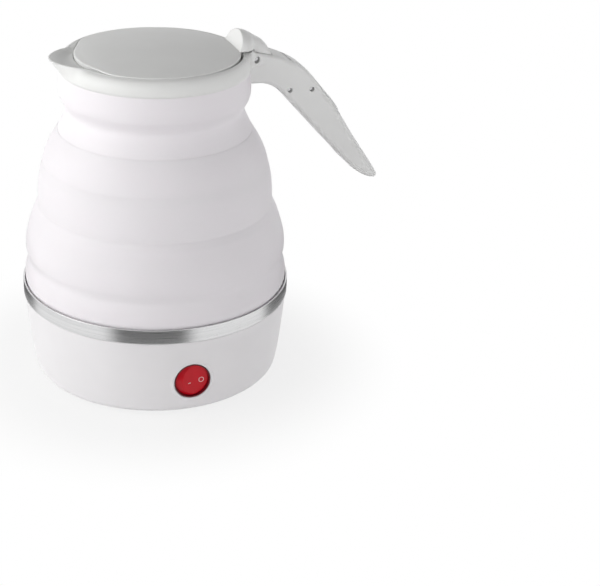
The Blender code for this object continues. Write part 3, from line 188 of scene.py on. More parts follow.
# The knuckle on the lid: along, half width, top, level where its dome starts, and squareness
KNUCKLE = [
    (36.5, 10.6, 162.3, 155.85, 2.0), (38.5, 11.1, 163.0, 155.85, 2.0),
    (40.5, 11.2, 163.3, 155.85, 2.0), (42.3, 10.5, 162.9, 155.85, 2.05),
    (43.5, 9.5, 162.5, 155.85, 2.1), (44.5, 8.2, 162.05, 155.85, 2.15),
    (45.2, 7.4, 161.7, 155.8, 2.2), (45.6, 7.2, 161.5, 155.7, 2.2),
    (46.8, 7.2, 160.7, 155.2, 2.3), (48.2, 7.2, 159.75, 154.5, 2.4),
    (50.0, 7.2, 158.8, 153.8, 2.4), (51.5, 7.2, 157.6, 153.2, 2.4),
    (52.6, 7.1, 156.3, 152.8, 2.3), (53.4, 6.9, 155.0, 152.4, 2.3),
    (53.95, 6.6, 153.3, 152.0, 2.2),
]
KNUCKLE_LOW, DRUM_RADIUS, DRUM_HALF, DRUM_CHAMFER = 155.84, 8.5, 7.15, 0.5
# Where the knuckle starts to reach down into the rim, how low, and where its front is cut
KNUCKLE_DROP_FROM, KNUCKLE_DROP_LOW = 45.3, 153.25
KNUCKLE_FRONT, KNUCKLE_FRONT_LEAN = (37.0, 0, 155.5), math.radians(22)

# The base: height, corner at its foot, wall, radius above the corner and how far it swells
BASE_TOP, BASE_CORNER, BASE_WALL, BASE_RADIUS, BASE_SWELL = 38.6, 4.5, 2.2, 59.0, 4.0
BAND_WALL, INLET_AIR = 0.8, 0.3
# How far from the axis the tools start and end that cut through its wall
CUT_FROM, CUT_TO = 42.5, 66.0

# The switch, on the front of the base
SWITCH_LEVEL, SWITCH_HOLE, PAD_BACK, PAD_FACE, ROCKER_PIVOT = 17.2, 8.7, 54.0, 60.85, 57.0
SWITCH_RING = [
    (0.0, 45.31, 0.0), (8.4, 45.31, 0.3), (8.4, 61.0, 0.2), (8.0, 61.0, 0.2), (8.0, 59.6, 0.1),
    (8.15, 59.0, 0.1), (8.15, 52.4, 0.0), (0.0, 52.4, 0.0),
]
ROCKER_RADIUS, ROCKER_ROLL, ROCKER_FACE, ROCKER_BACK = 7.6, 0.4, 2.9, -2.5
# Its marks: the bar from, to, level and width, then the circle's middle, radius and width
ON_FROM, ON_TO, ON_LEVEL, ON_WIDTH = -2.5, -1.1, -1.3, 0.32
OFF_ACROSS, OFF_UP, OFF_RADIUS, OFF_WIDTH = 4.1, -0.5, 1.15, 0.22

# The stage, in metres: lamp, dark cards round the base (degrees from, to) and the camera's axes
LAMP_PLACE, LAMP_AIM, LAMP_SIZE, LAMP_POWER = (-0.50, -0.01, 0.37), (0, 0, 0.09), 0.46, 1.66
CARDS, CARD_REACH, CARD_TOP, CARD_STEPS = ((-137, -81), (-29, 44), (109, 162)), 0.112, 0.05, 24
# Their glow in the middle and what is added at their ends, over so many degrees
CARD_GLOW, CARD_END_GLOW, CARD_FADE = 0.035, 0.8, 10
# The fill light: from straight above, from below, and how fast it falls off upward
FILL_ABOVE, FILL_BELOW, FILL_POWER = 0.05, 4.0, 4.0
# Where the floor starts and ends turning plain white, and how white it is at the start
FLOOR_FROM, FLOOR_TO, FLOOR_START = 0.060, 0.125, 0.80
CAMERA_RIGHT = Vector((0.9358, -0.3509, 0.0353))
CAMERA_UP = Vector((0.1239, 0.4211, 0.8985))
CAMERA_AHEAD = Vector((0.3301, 0.8364, -0.4375))


class KettleSizes(bpy.types.PropertyGroup):
    columns: bpy.props.IntProperty(
        name="Columns", description="Columns of faces round each turned piece",
        default=192, min=48, max=512,
    )
    handle_width: bpy.props.FloatProperty(
        name="Handle width", description="Across the handle", default=0.018, unit="LENGTH"
    )
    pad_radius: bpy.props.FloatProperty(
        name="Pad radius", description="Flat pad round the switch", default=0.0104, unit="LENGTH"
    )
    rocker_lean: bpy.props.FloatProperty(
        name="Rocker lean", description="Turn of the rocker when it is off",
        default=math.radians(9), subtype="ANGLE",
    )
    edge_softness: bpy.props.FloatProperty(
        name="Edge softness", description="How wide a moulded edge is rounded in the shading",
        default=0.0007, unit="LENGTH",
    )
    camera_place: bpy.props.FloatVectorProperty(
        name="Camera place", description="Where the camera stands",
        default=(-0.1826, -0.6538, 0.3654), unit="LENGTH",
    )
    lens: bpy.props.FloatProperty(
        name="Lens", description="Focal length in millimetres", default=92.37
    )


class KettleFinishes(bpy.types.PropertyGroup):
    silicone: bpy.props.FloatVectorProperty(
        name="Silicone", description="White of the bellows", subtype="COLOR",
        default=(0.815, 0.782, 0.815), min=0, max=1,
    )
    shell: bpy.props.FloatVectorProperty(
        name="Shell", description="White plastic of the base", subtype="COLOR",
        default=(0.80, 0.783, 0.80), min=0, max=1,
    )
    moulding: bpy.props.FloatVectorProperty(
        name="Moulding", description="Plastic of rim, handle and lid", subtype="COLOR",
        default=(0.765, 0.765, 0.76), min=0, max=1,
    )
    rocker: bpy.props.FloatVectorProperty(
        name="Rocker", description="Red of the switch", subtype="COLOR",
        default=(0.55, 0.006, 0.016), min=0, max=1,
    )
    steel: bpy.props.FloatVectorProperty(
        name="Steel", description="Tone of the brushed band", subtype="COLOR",
        default=(0.71, 0.71, 0.715), min=0, max=1,
    )


# Lines


def flowing(points, steps=4):
    """A smooth line through points of two numbers."""
    line = [Vector(point) for point in points]
    ends = [line[0] * 2 - line[1]] + line + [line[-1] * 2 - line[-2]]
    out = []
    for p0, p1, p2, p3 in zip(ends, ends[1:], ends[2:], ends[3:]):
        t1 = (p1 - p0).length ** 0.5
        t2 = t1 + (p2 - p1).length ** 0.5
        t3 = t2 + (p3 - p2).length ** 0.5
        for step in range(steps):
            t = t1 + (t2 - t1) * step / steps
            a1, a2 = p0.lerp(p1, t / t1), p1.lerp(p2, (t - t1) / (t2 - t1))
            a3 = p2.lerp(p3, (t - t2) / (t3 - t2))
            b1, b2 = a1.lerp(a2, t / t2), a2.lerp(a3, (t - t1) / (t3 - t1))
            out.append(tuple(b1.lerp(b2, (t - t1) / (t2 - t1))))
    return out + [tuple(line[-1])]


def rounded(corners, steps=4):
    """A closed outline from corners (along, up, radius), each corner rounded by its radius."""
    out = []
    for index, (along, up, radius) in enumerate(corners):
        here = Vector((along, up))
        before = Vector(corners[index - 1][:2]) - here
        after = Vector(corners[(index + 1) % len(corners)][:2]) - here
        half = before.angle(after) / 2
        if radius <= 0 or half > math.radians(89):
            out.append((along, up))
            continue
        reach = min(radius / math.tan(half), before.length / 2.01, after.length / 2.01)
        radius = reach * math.tan(half)
        inward = (before.normalized() + after.normalized()).normalized()
        centre = here + inward * radius / math.sin(half)
        first = here + before.normalized() * reach - centre
        last = here + after.normalized() * reach - centre
        for step in range(steps + 1):
            out.append(tuple(centre + first.lerp(last, step / steps).normalized() * radius))
    return out


def evenly(points, count):
    """The same line with a given number of points, evenly spaced."""
    line = [Vector(point) for point in points]
    lengths = [0.0]
    for first, second in zip(line, line[1:]):
        lengths.append(lengths[-1] + (second - first).length)
    out = []
    for index in range(count):
        target = lengths[-1] * index / (count - 1)
        span = max(i for i in range(len(line) - 1) if lengths[i] <= target + 1e-9)
        share = (target - lengths[span]) / max(lengths[span + 1] - lengths[span], 1e-9)
        out.append(line[span].lerp(line[span + 1], min(share, 1.0)))
    return out


def curve_between(start, first_pull, second_pull, end, steps=10):
    """A soft curve between two places, pulled by two others."""
    out = []
    for step in range(steps + 1):
        t = step / steps
        shares = ((1 - t) ** 3, 3 * t * (1 - t) ** 2, 3 * t * t * (1 - t), t ** 3)
        points = (start, first_pull, second_pull, end)
        out.append(tuple(sum(k * p[i] for k, p in zip(shares, points)) for i in (0, 1)))
    return out


def eased(share):
    """A share that starts and ends softly, held between 0 and 1."""
    share = min(max(share, 0.0), 1.0)
    return share * share * (3 - 2 * share)


# Meshes


def thing(name, work):
    """An object from mesh work, with its faces turned outward."""
    work.normal_update()
    bmesh.ops.recalc_face_normals(work, faces=work.faces)
    mesh = bpy.data.meshes.new(name)
    work.to_mesh(mesh)
    work.free()
    obj = bpy.data.objects.new(name, mesh)
    bpy.context.scene.collection.objects.link(obj)
    return obj


def join_rows(work, rows, closed=False):
    """Faces between rows of corners that each run round in a loop. Shared corners drop out."""
    for first, second in zip(rows, rows[1:] + (rows[:1] if closed else [])):
        for index in range(len(first)):
            after = (index + 1) % len(first)
            corners = dict.fromkeys((first[index], first[after], second[after], second[index]))
            if len(corners) > 2:
                work.faces.new(list(corners))


def turned(name, outline, columns, closed=True, front=False):
    """Turns an outline (radius, height) about the upright axis, or about the line to the front."""
    work = bmesh.new()
    rows = []
    for radius, height in outline:
        row = []
        for column in range(columns):
            if radius < 1e-6 and row:
                row.append(row[0])
                continue
            angle = 2 * math.pi * column / columns
            across, aside = radius * math.cos(angle) * MM, radius * math.sin(angle) * MM
            up = height * MM
            row.append(work.verts.new((across, -up, aside) if front else (across, aside, up)))
        rows.append(row)
    join_rows(work, rows, closed)
    return thing(name, work)


def lofted(name, sections, ring=False):
    """A body through closed sections of equal length: a ring, or a bar with flat ends."""
    work = bmesh.new()
    rows = [[work.verts.new(Vector(point) * MM) for point in section] for section in sections]
    join_rows(work, rows, ring)
    if not ring:
        work.faces.new(rows[0])
        work.faces.new(rows[-1][::-1])
    return thing(name, work)


def slab(name, outline, half_width):
    """An outline (along, up) with thickness to both sides."""
    sides = (-half_width, half_width)
    return lofted(name, [[(along, side, up) for along, up in outline] for side in sides])


def bar_section(back, under, half_width, across, deep, below, steps=7):
    """A section from a back point to an under point, its back corners wider than its lower ones."""
    back, under = Vector(back), Vector(under)
    middle, out = (back + under) / 2, (back - under) / 2
    height = out.length
    out.normalize()
    across, deep = min(across, half_width * 0.98), min(deep, height * 0.98)
    below = min(below, height * 0.98, half_width * 0.98)
    corners = (
        (half_width - below, -height + below, below, below, -90),
        (half_width - across, height - deep, across, deep, 0),
        (-half_width + across, height - deep, across, deep, 90),
        (-half_width + below, -height + below, below, below, 180),
    )
    section = []
    for side, level, wide, tall, start in corners:
        for step in range(steps):
            turn = math.radians(start + 90 * step / (steps - 1))
            place = middle + out * (level + tall * math.sin(turn))
            section.append((place.x, side + wide * math.cos(turn), place.y))
    return section


def rod(name, start, end, radius, columns=48):
    """A round bar between two places."""
    start, end = Vector(start) * MM, Vector(end) * MM
    work = bmesh.new()
    bmesh.ops.create_cone(
        work, cap_ends=True, segments=columns, radius1=radius * MM, radius2=radius * MM,
        depth=(end - start).length,
    )
    turn = (end - start).to_track_quat("Z", "Y").to_matrix().to_4x4()
    work.transform(Matrix.Translation((start + end) / 2) @ turn)
    return thing(name, work)


def across_bar(name, place, radius, half_width):
    """A round bar across the handle at a place seen from the side."""
    along, up = place
    return rod(name, (along, -half_width, up), (along, half_width, up), radius, 32)


def coil(name, start, end, radius, wire, turns, around=24, sides=10):
    """A round wire wound about a line that lies in the handle's middle plane."""
    start, end = Vector(start), Vector(end)
    side = Vector((0.0, 1.0, 0.0))
    along = (end - start).normalized()
    other = along.cross(side)
    count = around * turns
    spots = [2 * math.pi * step / sides for step in range(sides)]
    sections = []
    for index in range(count + 1):
        turn = 2 * math.pi * index / around
        out = side * math.cos(turn) + other * math.sin(turn)
        middle = start.lerp(end, index / count) + out * radius
        ring = [middle + (out * math.cos(spot) + along * math.sin(spot)) * wire for spot in spots]
        sections.append(ring)
    return lofted(name, sections)


def brick(name, low, high):
    """A box between two corners."""
    work = bmesh.new()
    bmesh.ops.create_cube(work, size=1.0)
    low, high = Vector(low) * MM, Vector(high) * MM
    work.transform(Matrix.Translation((low + high) / 2) @ Matrix.Diagonal((high - low).to_4d()))
    return thing(name, work)


def soften(obj, width, segments, degrees):
    """Rounds every edge that turns by more than an angle."""
    step = obj.modifiers.new("rounding", "BEVEL")
    step.width, step.segments = width * MM, segments
    step.limit_method, step.angle_limit = "ANGLE", math.radians(degrees)
    return obj


def combine(body, others, operation):
    for other in others:
        step = body.modifiers.new(other.name, "BOOLEAN")
        step.operation, step.solver, step.object = operation, "EXACT", other
        other.hide_render = True
    return body


def carve(body, *tools):
    """Cuts tools out of a body."""
    return combine(body, tools, "DIFFERENCE")


def fuse(body, *others):
    """Joins others to a body."""
    return combine(body, others, "UNION")


def settle(body, crease):
    """Bakes the steps into the mesh, drops the tools, and shades it smooth up to a crease."""
    tools = []

    def gather(obj):
        for step in obj.modifiers:
            if step.type == "BOOLEAN" and step.object not in tools:
                tools.append(step.object)
                gather(step.object)

    gather(body)
    bpy.context.view_layer.update()
    graph = bpy.context.evaluated_depsgraph_get()
    mesh = bpy.data.meshes.new_from_object(body.evaluated_get(graph))
    body.modifiers.clear()
    body.data = mesh
    for tool in tools:
        bpy.data.objects.remove(tool)
    mesh.polygons.foreach_set("use_smooth", [True] * len(mesh.polygons))
    mesh.set_sharp_from_angle(angle=math.radians(crease))
    body.modifiers.new("even shading", "WEIGHTED_NORMAL").keep_sharp = True
    return body


def dress(context, obj, finish, body=None, nodes=()):
    """Gives a piece its finish and its slot, sets it on its body, and lets it stand for nodes."""
    obj.data.materials.clear()
    obj.data.materials.append(finish_named(context, finish))
    if nodes:
        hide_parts(*nodes)
    if body:
        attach(obj, body)


# Finishes


def add_node(tree, kind, values=None, **settings):
    """A new node with its settings, then the values of its inputs."""
    node = tree.nodes.new(kind)
    for name, value in settings.items():
        setattr(node, name, value)
    set_values(node, values or {})
    return node


def set_values(node, values):
    """Sets a node's unlinked inputs."""
    for name, value in values.items():
        node.inputs[name].default_value = value


def join_up(tree, *links):
    """Joins sockets, each link given as node, output, node, input."""
    for source, output, target, socket in links:
        tree.links.new(source.outputs[output], target.inputs[socket])


def new_group(name, inputs):
    """A shader group with named numbers as inputs, which puts out a slow and a fine mask."""
    group = bpy.data.node_groups.new(name, "ShaderNodeTree")
    for title, default in inputs.items():
        socket = group.interface.new_socket(title, in_out="INPUT", socket_type="NodeSocketFloat")
        socket.default_value = default
    for title in ("Fine", "Slow"):
        group.interface.new_socket(title, in_out="OUTPUT", socket_type="NodeSocketFloat")
    return group, group.nodes.new("NodeGroupInput"), group.nodes.new("NodeGroupOutput")


def moulded_grain():
    """Fine grain of moulded plastic, silicone or metal, with slow changes of tone."""
    group, start, end = new_group("Moulded grain", {"Grain scale": 2600.0, "Patch scale": 42.0})
    place = add_node(group, "ShaderNodeTexCoord")
    fine = add_node(group, "ShaderNodeTexNoise", {"Detail": 3.0, "Roughness": 0.6})
    slow = add_node(group, "ShaderNodeTexNoise", {"Detail": 2.0})
    join_up(
        group,
        (place, "Object", fine, "Vector"),
        (place, "Object", slow, "Vector"),
        (start, "Grain scale", fine, "Scale"),
        (start, "Patch scale", slow, "Scale"),
        (fine, "Fac", end, "Fine"),
        (slow, "Fac", end, "Slow"),
    )
    return group


def brushed_lines():
    """Fine lines that run round the upright axis, as a turned steel band gets from brushing."""
    group, start, end = new_group("Brushed lines", {"Line scale": 5200.0, "Run": 3.0})
    place = add_node(group, "ShaderNodeTexCoord")
    apart = add_node(group, "ShaderNodeSeparateXYZ")
    angle = add_node(group, "ShaderNodeMath", operation="ARCTAN2")
    along = add_node(group, "ShaderNodeMath", operation="MULTIPLY")
    up = add_node(group, "ShaderNodeMath", operation="MULTIPLY")
    together = add_node(group, "ShaderNodeCombineXYZ")
    lines = add_node(group, "ShaderNodeTexNoise", {"Scale": 1.0, "Detail": 4.0, "Roughness": 0.7})
    streaks = add_node(group, "ShaderNodeTexNoise", {"Scale": 0.17, "Detail": 2.0})
    join_up(
        group,
        (place, "Object", apart, "Vector"),
        (apart, "Y", angle, 0),
        (apart, "X", angle, 1),
        (angle, "Value", along, 0),
        (start, "Run", along, 1),
        (apart, "Z", up, 0),
        (start, "Line scale", up, 1),
        (along, "Value", together, "X"),
        (up, "Value", together, "Y"),
        (together, "Vector", lines, "Vector"),
        (together, "Vector", streaks, "Vector"),
        (lines, "Fac", end, "Fine"),
        (streaks, "Fac", end, "Slow"),
    )
    return group


GROUPS = {"Moulded grain": moulded_grain, "Brushed lines": brushed_lines}


def textured(name, group, scales, colour, dark, rough, depth, strength, edge=0.0):
    """A new finish whose tone, polish and relief change by the two masks of a shared group.

    The tone moves between the colour and a darker share of it, the roughness between two values,
    and the relief stands on edges that are rounded in the shading.
    """
    material = bpy.data.materials.new(name)
    material.use_nodes = True
    tree = material.node_tree
    shader = tree.nodes["Principled BSDF"]
    shared = bpy.data.node_groups.get(group) or GROUPS[group]()
    masks = add_node(tree, "ShaderNodeGroup", scales, node_tree=shared)
    tones = add_node(tree, "ShaderNodeMapRange", {"From Min": 0.35, "From Max": 0.65})
    darker = (*(channel * dark for channel in colour), 1.0)
    mix = add_node(tree, "ShaderNodeMix", data_type="RGBA")
    set_values(mix, {"A": darker, "B": (*colour, 1.0)})
    polish = add_node(
        tree, "ShaderNodeMapRange",
        {"From Min": 0.3, "From Max": 0.7, "To Min": rough[0], "To Max": rough[1]},
    )
    bump = add_node(tree, "ShaderNodeBump", {"Strength": strength, "Distance": depth})
    join_up(
        tree,
        (masks, "Slow", tones, "Value"),
        (tones, "Result", mix, "Factor"),
        (mix, "Result", shader, "Base Color"),
        (masks, "Fine", polish, "Value"),
        (polish, "Result", shader, "Roughness"),
        (masks, "Fine", bump, "Height"),
        (bump, "Normal", shader, "Normal"),
    )
    if edge:
        soft = add_node(tree, "ShaderNodeBevel", {"Radius": edge}, samples=6)
        join_up(tree, (soft, "Normal", bump, "Normal"))
    return material, tree, shader


def silicone_finish(name, colour):
    """Soft silicone: satin, a little light inside, and a fine powdery grain."""
    scales = {"Grain scale": 2200.0, "Patch scale": 30.0}
    material, _, shader = textured(
        name, "Moulded grain", scales, colour, 0.985, (0.40, 0.50), 0.00004, 0.22
    )
    set_values(shader, {
        "Subsurface Weight": 0.18, "Subsurface Radius": (0.0032, 0.0028, 0.0030),
        "Subsurface Scale": 1.0, "Sheen Weight": 0.12, "Sheen Roughness": 0.45,
        "Specular IOR Level": 0.38, "IOR": 1.43,
    })
    return material


def plastic_finish(name, colour, rough, edge, depth=0.00003, scale=2600.0):
    """Moulded plastic: an even satin skin, a trace of mould texture and soft edges."""
    material, _, shader = textured(
        name, "Moulded grain", {"Grain scale": scale}, colour, 0.975, rough, depth, 0.2, edge
    )
    set_values(shader, {"Specular IOR Level": 0.45})
    return material


def metal_finish(name, colour, rough, depth=0.00001, scale=2400.0):
    """Drawn or cast metal with a slightly uneven polish."""
    scales = {"Grain scale": scale, "Patch scale": 110.0}
    material, _, shader = textured(
        name, "Moulded grain", scales, colour, 0.93, (rough, rough + 0.1), depth, 0.25, 0.0002
    )
    set_values(shader, {"Metallic": 1.0})
    return material


def band_finish(name, colour):
    """Brushed steel whose lines run round the base."""
    material, tree, shader = textured(
        name, "Brushed lines", {}, colour, 0.90, (0.24, 0.36), 0.00002, 0.25, 0.0002
    )
    set_values(shader, {"Metallic": 1.0, "Anisotropic": 0.55, "Anisotropic Rotation": 0.25})
    tangent = add_node(tree, "ShaderNodeTangent", direction_type="RADIAL", axis="Z")
    join_up(tree, (tangent, "Tangent", shader, "Tangent"))
    return material


def rocker_finish(name, colour):
    """Clear-looking red plastic, polished, with a faint glow where light goes in."""
    material, _, shader = textured(
        name, "Moulded grain", {"Grain scale": 900.0}, colour, 0.90, (0.14, 0.20),
        0.00002, 0.12, 0.0003,
    )
    set_values(shader, {
        "Specular IOR Level": 0.25, "Subsurface Weight": 0.12,
        "Subsurface Radius": (0.002, 0.0003, 0.0003),
    })
    return material


# Finishes whose colour the sidebar doesn't hold: how each is made, then colour, roughness, and
# the rounding of edges and depth of relief in metres
PLAIN_FINISHES = {
    # The switch ring is a real part, but its dark red is partly painted shade that stands for the
    # shadow round the rocker's rim.
    "Dark red switch plastic": (plastic_finish, (0.15, 0.003, 0.010), (0.3, 0.4), 0.0002),
    "White switch marks": (plastic_finish, (0.78, 0.72, 0.72), (0.4, 0.5), 0.0, 0.00001),
    "Seal silicone": (silicone_finish, (0.62, 0.62, 0.63)),
    "Drawn steel": (metal_finish, (0.60, 0.60, 0.61), 0.22),
    "Cast aluminium": (metal_finish, (0.68, 0.68, 0.69), 0.42, 0.00004, 1500.0),
    "Brass": (metal_finish, (0.66, 0.47, 0.20), 0.25),
    "Black plastic": (plastic_finish, (0.018, 0.018, 0.019), (0.38, 0.52), 0.0005, 0.00006),
    "Black rubber": (plastic_finish, (0.028, 0.028, 0.028), (0.62, 0.78), 0.0006, 0.00008, 1600.0),
    "Brown wire sleeve": (plastic_finish, (0.13, 0.055, 0.025), (0.35, 0.45), 0.0),
    "Blue wire sleeve": (plastic_finish, (0.02, 0.09, 0.36), (0.35, 0.45), 0.0),
    "Green wire sleeve": (plastic_finish, (0.07, 0.30, 0.05), (0.35, 0.45), 0.0),
}


def finish_named(context, name):
    """The finish of that name, made the first time that a piece asks for it."""
    made = bpy.data.materials.get(name)
    if made:
        return made
    colours = context.scene.kettle_finishes
    soft = context.scene.kettle_sizes.edge_softness
    from_sidebar = {
        "White silicone": (silicone_finish, tuple(colours.silicone)),
        "White shell plastic": (plastic_finish, tuple(colours.shell), (0.28, 0.36), soft),
        "Pale moulding plastic": (plastic_finish, tuple(colours.moulding), (0.34, 0.44), soft),
        "Brushed steel band": (band_finish, tuple(colours.steel)),
        "Red rocker plastic": (rocker_finish, tuple(colours.rocker)),
    }
    maker, *values = {**PLAIN_FINISHES, **from_sidebar}[name]
    return maker(name, *values)


# Rim and handle


def lip_share(angle):
    """How far the rim has turned into the pouring lip at an angle from the lip's middle."""
    return math.cos(min(abs(angle) / LIP_ANGLE, 1.0) * math.pi / 2) ** 1.6


def front_share(angle):
    """Where lid and seat are drawn in, behind the pouring lip."""
    return eased((math.radians(50) - abs(angle)) / math.radians(24))


def seat_radius(angle):
    """The rim is close round the lid, and a little wider where the lid turns at the handle."""
    return CLOSE_SEAT + (WIDE_SEAT - CLOSE_SEAT) * eased((-math.cos(angle) - 0.1) / 0.7)


def rim_section(angle):
    """The rim's closed section (radius, height) at an angle from the middle of the lip."""
    away = abs(angle)
    share = lip_share(angle)
    spout = eased((LIP_ANGLE - away) / math.radians(11))
    nominal = seat_radius(angle)
    seat = nominal - LID_FRONT_CUT * front_share(angle)
    fullness = 1.03 + 0.72 * eased((away - math.radians(150)) / math.radians(12))
    edge = nominal + RIM_WALL
    top = RIM_TOP + LIP_RISE * share ** 0.6
    start = RIM_LOW + 2.2
    lip = edge + (LIP_REACH - edge) * share
    section = [
        (SLEEVE_OUTSIDE, SLEEVE_LOW + 0.3), (SLEEVE_OUTSIDE, RIM_LOW - 3.0),
        (SLEEVE_OUTSIDE, RIM_LOW - 0.1), (SLEEVE_OUTSIDE + 0.2, RIM_LOW),
        (RIM_RADIUS - 2.6, RIM_LOW),
    ]
    for step in range(6):
        turn = math.pi / 2 * step / 5
        section.append((
            RIM_RADIUS - RIM_ROLL + RIM_ROLL * math.sin(turn),
            RIM_LOW + RIM_ROLL - RIM_ROLL * math.cos(turn),
        ))

    def outside(part):
        """Outer side between the roll at the bottom and the top edge."""
        ring = RIM_RADIUS - (RIM_RADIUS - edge) * (1 - math.cos(math.asin(part)) ** fullness)
        flare = RIM_RADIUS + (lip - RIM_RADIUS) * part ** 0.9
        return ring + (flare - ring) * spout

    for part in RIM_SIDE:
        section.append((outside(part), start + (top - 0.3 - start) * part))
    outer = edge + (lip - edge) * spout
    inner = (outer - LIP_WALL) * spout + (nominal + 0.3) * (1 - spout)
    for part, drop in (*RIM_EDGE, (0.9, 0.05 + 0.1 * spout)):
        section.append((outer + (inner - outer) * part, top - drop))
    sunk = LIP_SINK * spout
    level = RIM_TOP - 0.06 - sunk
    for step in range(1, 12):
        part = step / 11
        flat = (inner + (seat + 0.25 - inner) * part, top - 0.02)
        trough = LIP_TROUGH * math.sin(math.pi * part) * share
        height = top - 0.35 + (level - top + 0.35) * part - trough
        ramp = (inner + (seat + 0.2 - inner) * part, height)
        section.append(tuple(Vector(flat).lerp(Vector(ramp), spout)))
    ledge = min(39.0, seat - 0.2)
    return section + [
        (seat + 0.12, RIM_TOP - 0.07 - sunk), (seat + 0.03, RIM_TOP - 0.3 - sunk),
        (seat, RIM_TOP - 0.7 - 0.9 * sunk), (seat, SEAT_LEVEL + 0.2), (seat - 0.15, SEAT_LEVEL),
        (ledge, SEAT_LEVEL - 0.08), ((ledge + SLEEVE_INSIDE) / 2, SEAT_LEVEL - 0.18),
        (SLEEVE_INSIDE, SEAT_LEVEL - 0.28), (SLEEVE_INSIDE, RIM_LOW - 0.5),
        (SLEEVE_INSIDE, SLEEVE_LOW + 0.4), (SLEEVE_INSIDE + 0.4, SLEEVE_LOW),
        (SLEEVE_OUTSIDE - 0.3, SLEEVE_LOW),
    ]


def rim_ring():
    """The rim all round, with finer steps through the pouring lip."""
    angles = [math.radians(-36 + 0.75 * step) for step in range(96)]
    angles += [math.radians(36 + 2 * step) for step in range(144)]
    sections = []
    for angle in angles:
        across, aside = math.cos(math.pi - angle), math.sin(math.pi - angle)
        section = rim_section(math.remainder(angle, 2 * math.pi))
        sections.append([(radius * across, radius * aside, up) for radius, up in section])
    return lofted("rim_and_handle", sections, ring=True)


def handle_arm(half_width):
    """The handle's outer form, which narrows to a round end."""
    top = [(HANDLE_INSET, HANDLE_TOP[0][1])] + flowing(HANDLE_TOP)
    bottom = [(HANDLE_INSET, HANDLE_UNDER[-1][1])] + flowing(HANDLE_UNDER)[::-1]
    sections = []
    for index, (back, under) in enumerate(
        zip(evenly(top, HANDLE_SECTIONS), evenly(bottom, HANDLE_SECTIONS))
    ):
        down = eased((back.x - CORNERS_FROM) / CORNERS_RUN)
        left = 1 - index / (HANDLE_SECTIONS - 1)
        half = half_width * math.sqrt(max(1 - (1 - min(left / END_SHARE, 1.0)) ** 2, END_LEAST))
        across, deep = ROOT_CORNER + WIDER * down, ROOT_CORNER + DEEPER * down
        sections.append(bar_section(back, under, half, across, deep, LOW_CORNER))
    return lofted("arm", sections)


def root_flare():
    """The soft widening of the rim on both sides of the handle's root."""
    side = curve_between(*FLARE_SIDE)
    outline = [(FLARE_BACK, side[0][1])] + side
    outline += [(x, -y) for x, y in outline[::-1]]
    under = [(x, y, FLARE_LOW) for x, y in outline]
    over = [(x, y, FLARE_TOP - FLARE_FALL * max(x - RIM_RADIUS, 0.0)) for x, y in outline]
    return soften(lofted("root_flare", [under, over]), FLARE_ROUNDING, 4, 70)


# Lid


def dished_cap(columns):
    """The lid's cap, with its front drawn in behind the pouring lip."""
    profile = [
        (radius, LID_EDGE + LID_DISH * (1 - (radius / DISH_RADIUS) ** 2))
        for radius in (0.0, 4, 8, 12, 16, 20, 24, 28, 32, 35, 37, 38.2)
    ]
    profile += [
        (38.75, 155.86), (39.0, 155.72), (39.15, 155.5), (39.2, 155.2), (39.2, 153.5),
        (39.0, LID_UNDER), (37.2, LID_UNDER), (37.0, 153.5), (37.0, 154.9), (19.6, 155.55),
        (0.0, 156.1),
    ]
    cap = turned("lid_cap", profile, columns, closed=False)
    for vert in cap.data.vertices:
        radius = math.hypot(vert.co.x, vert.co.y) / MM
        if radius > FRONT_START:
            cut = LID_FRONT_CUT / LID_RADIUS * front_share(math.atan2(vert.co.y, -vert.co.x))
            shrink = (1 - cut) ** eased((radius - FRONT_START) / FRONT_RUN)
            vert.co.x, vert.co.y = vert.co.x * shrink, vert.co.y * shrink
    return cap


def half_dome():
    """The knuckle beside the handle, cut off in front."""
    lines = [flowing([(row[0], row[item]) for row in KNUCKLE], 3) for item in range(1, 5)]
    sections = []
    for (x, half), (_, top), (_, start), (_, square) in zip(*lines):
        low = min(KNUCKLE_DROP_LOW, start - 0.3) if x > KNUCKLE_DROP_FROM else KNUCKLE_LOW
        arch = [(x, half, low)]
        for step in range(33):
            turn = math.pi * step / 32
            side, lift = math.cos(turn), math.sin(turn)
            aside = half * math.copysign(abs(side) ** (2 / square), side)
            arch.append((x, aside, start + (top - start) * lift ** (2 / square)))
        sections.append(arch + [(x, -half, low)])
    front = brick("knuckle_front", (-40, -40, -40), (0, 40, 40))
    lean = Matrix.Rotation(KNUCKLE_FRONT_LEAN, 4, "Y")
    front.data.transform(Matrix.Translation(Vector(KNUCKLE_FRONT) * MM) @ lean)
    return carve(lofted("knuckle", sections), front)


def lid_arm():
    """The arm behind the knuckle, with the drum and the barrel that turn on the hinge pin."""
    sections = []
    for side in (-DRUM_HALF, -DRUM_HALF + DRUM_CHAMFER, DRUM_HALF - DRUM_CHAMFER, DRUM_HALF):
        drum = DRUM_RADIUS - (DRUM_CHAMFER if abs(side) == DRUM_HALF else 0.0)
        outline = [(48.33, 150.24)]
        for degrees in range(-24, 9, 4):
            turn = math.radians(degrees)
            outline.append(
                (HINGE_PIN[0] + drum * math.cos(turn), HINGE_PIN[1] + drum * math.sin(turn))
            )
        outline += [
            (50.0, 153.4), (46.8, 154.6), (45.6, 155.2), (42.0, 156.3), (38.3, 156.3),
            (38.1, 156.0), (38.1, 153.3), (42.4, 153.3), (42.4, 151.5), (42.81, 149.95),
            (43.95, 148.81), (45.5, 148.4), (47.05, 148.81),
        ]
        sections.append([(x, side, z) for x, z in outline])
    hole = across_bar("lid_pin_hole", HINGE_PIN, LID_HINGE_HOLE, PIN_REACH)
    return carve(lofted("lid_arm", sections), hole)


# Base and switch


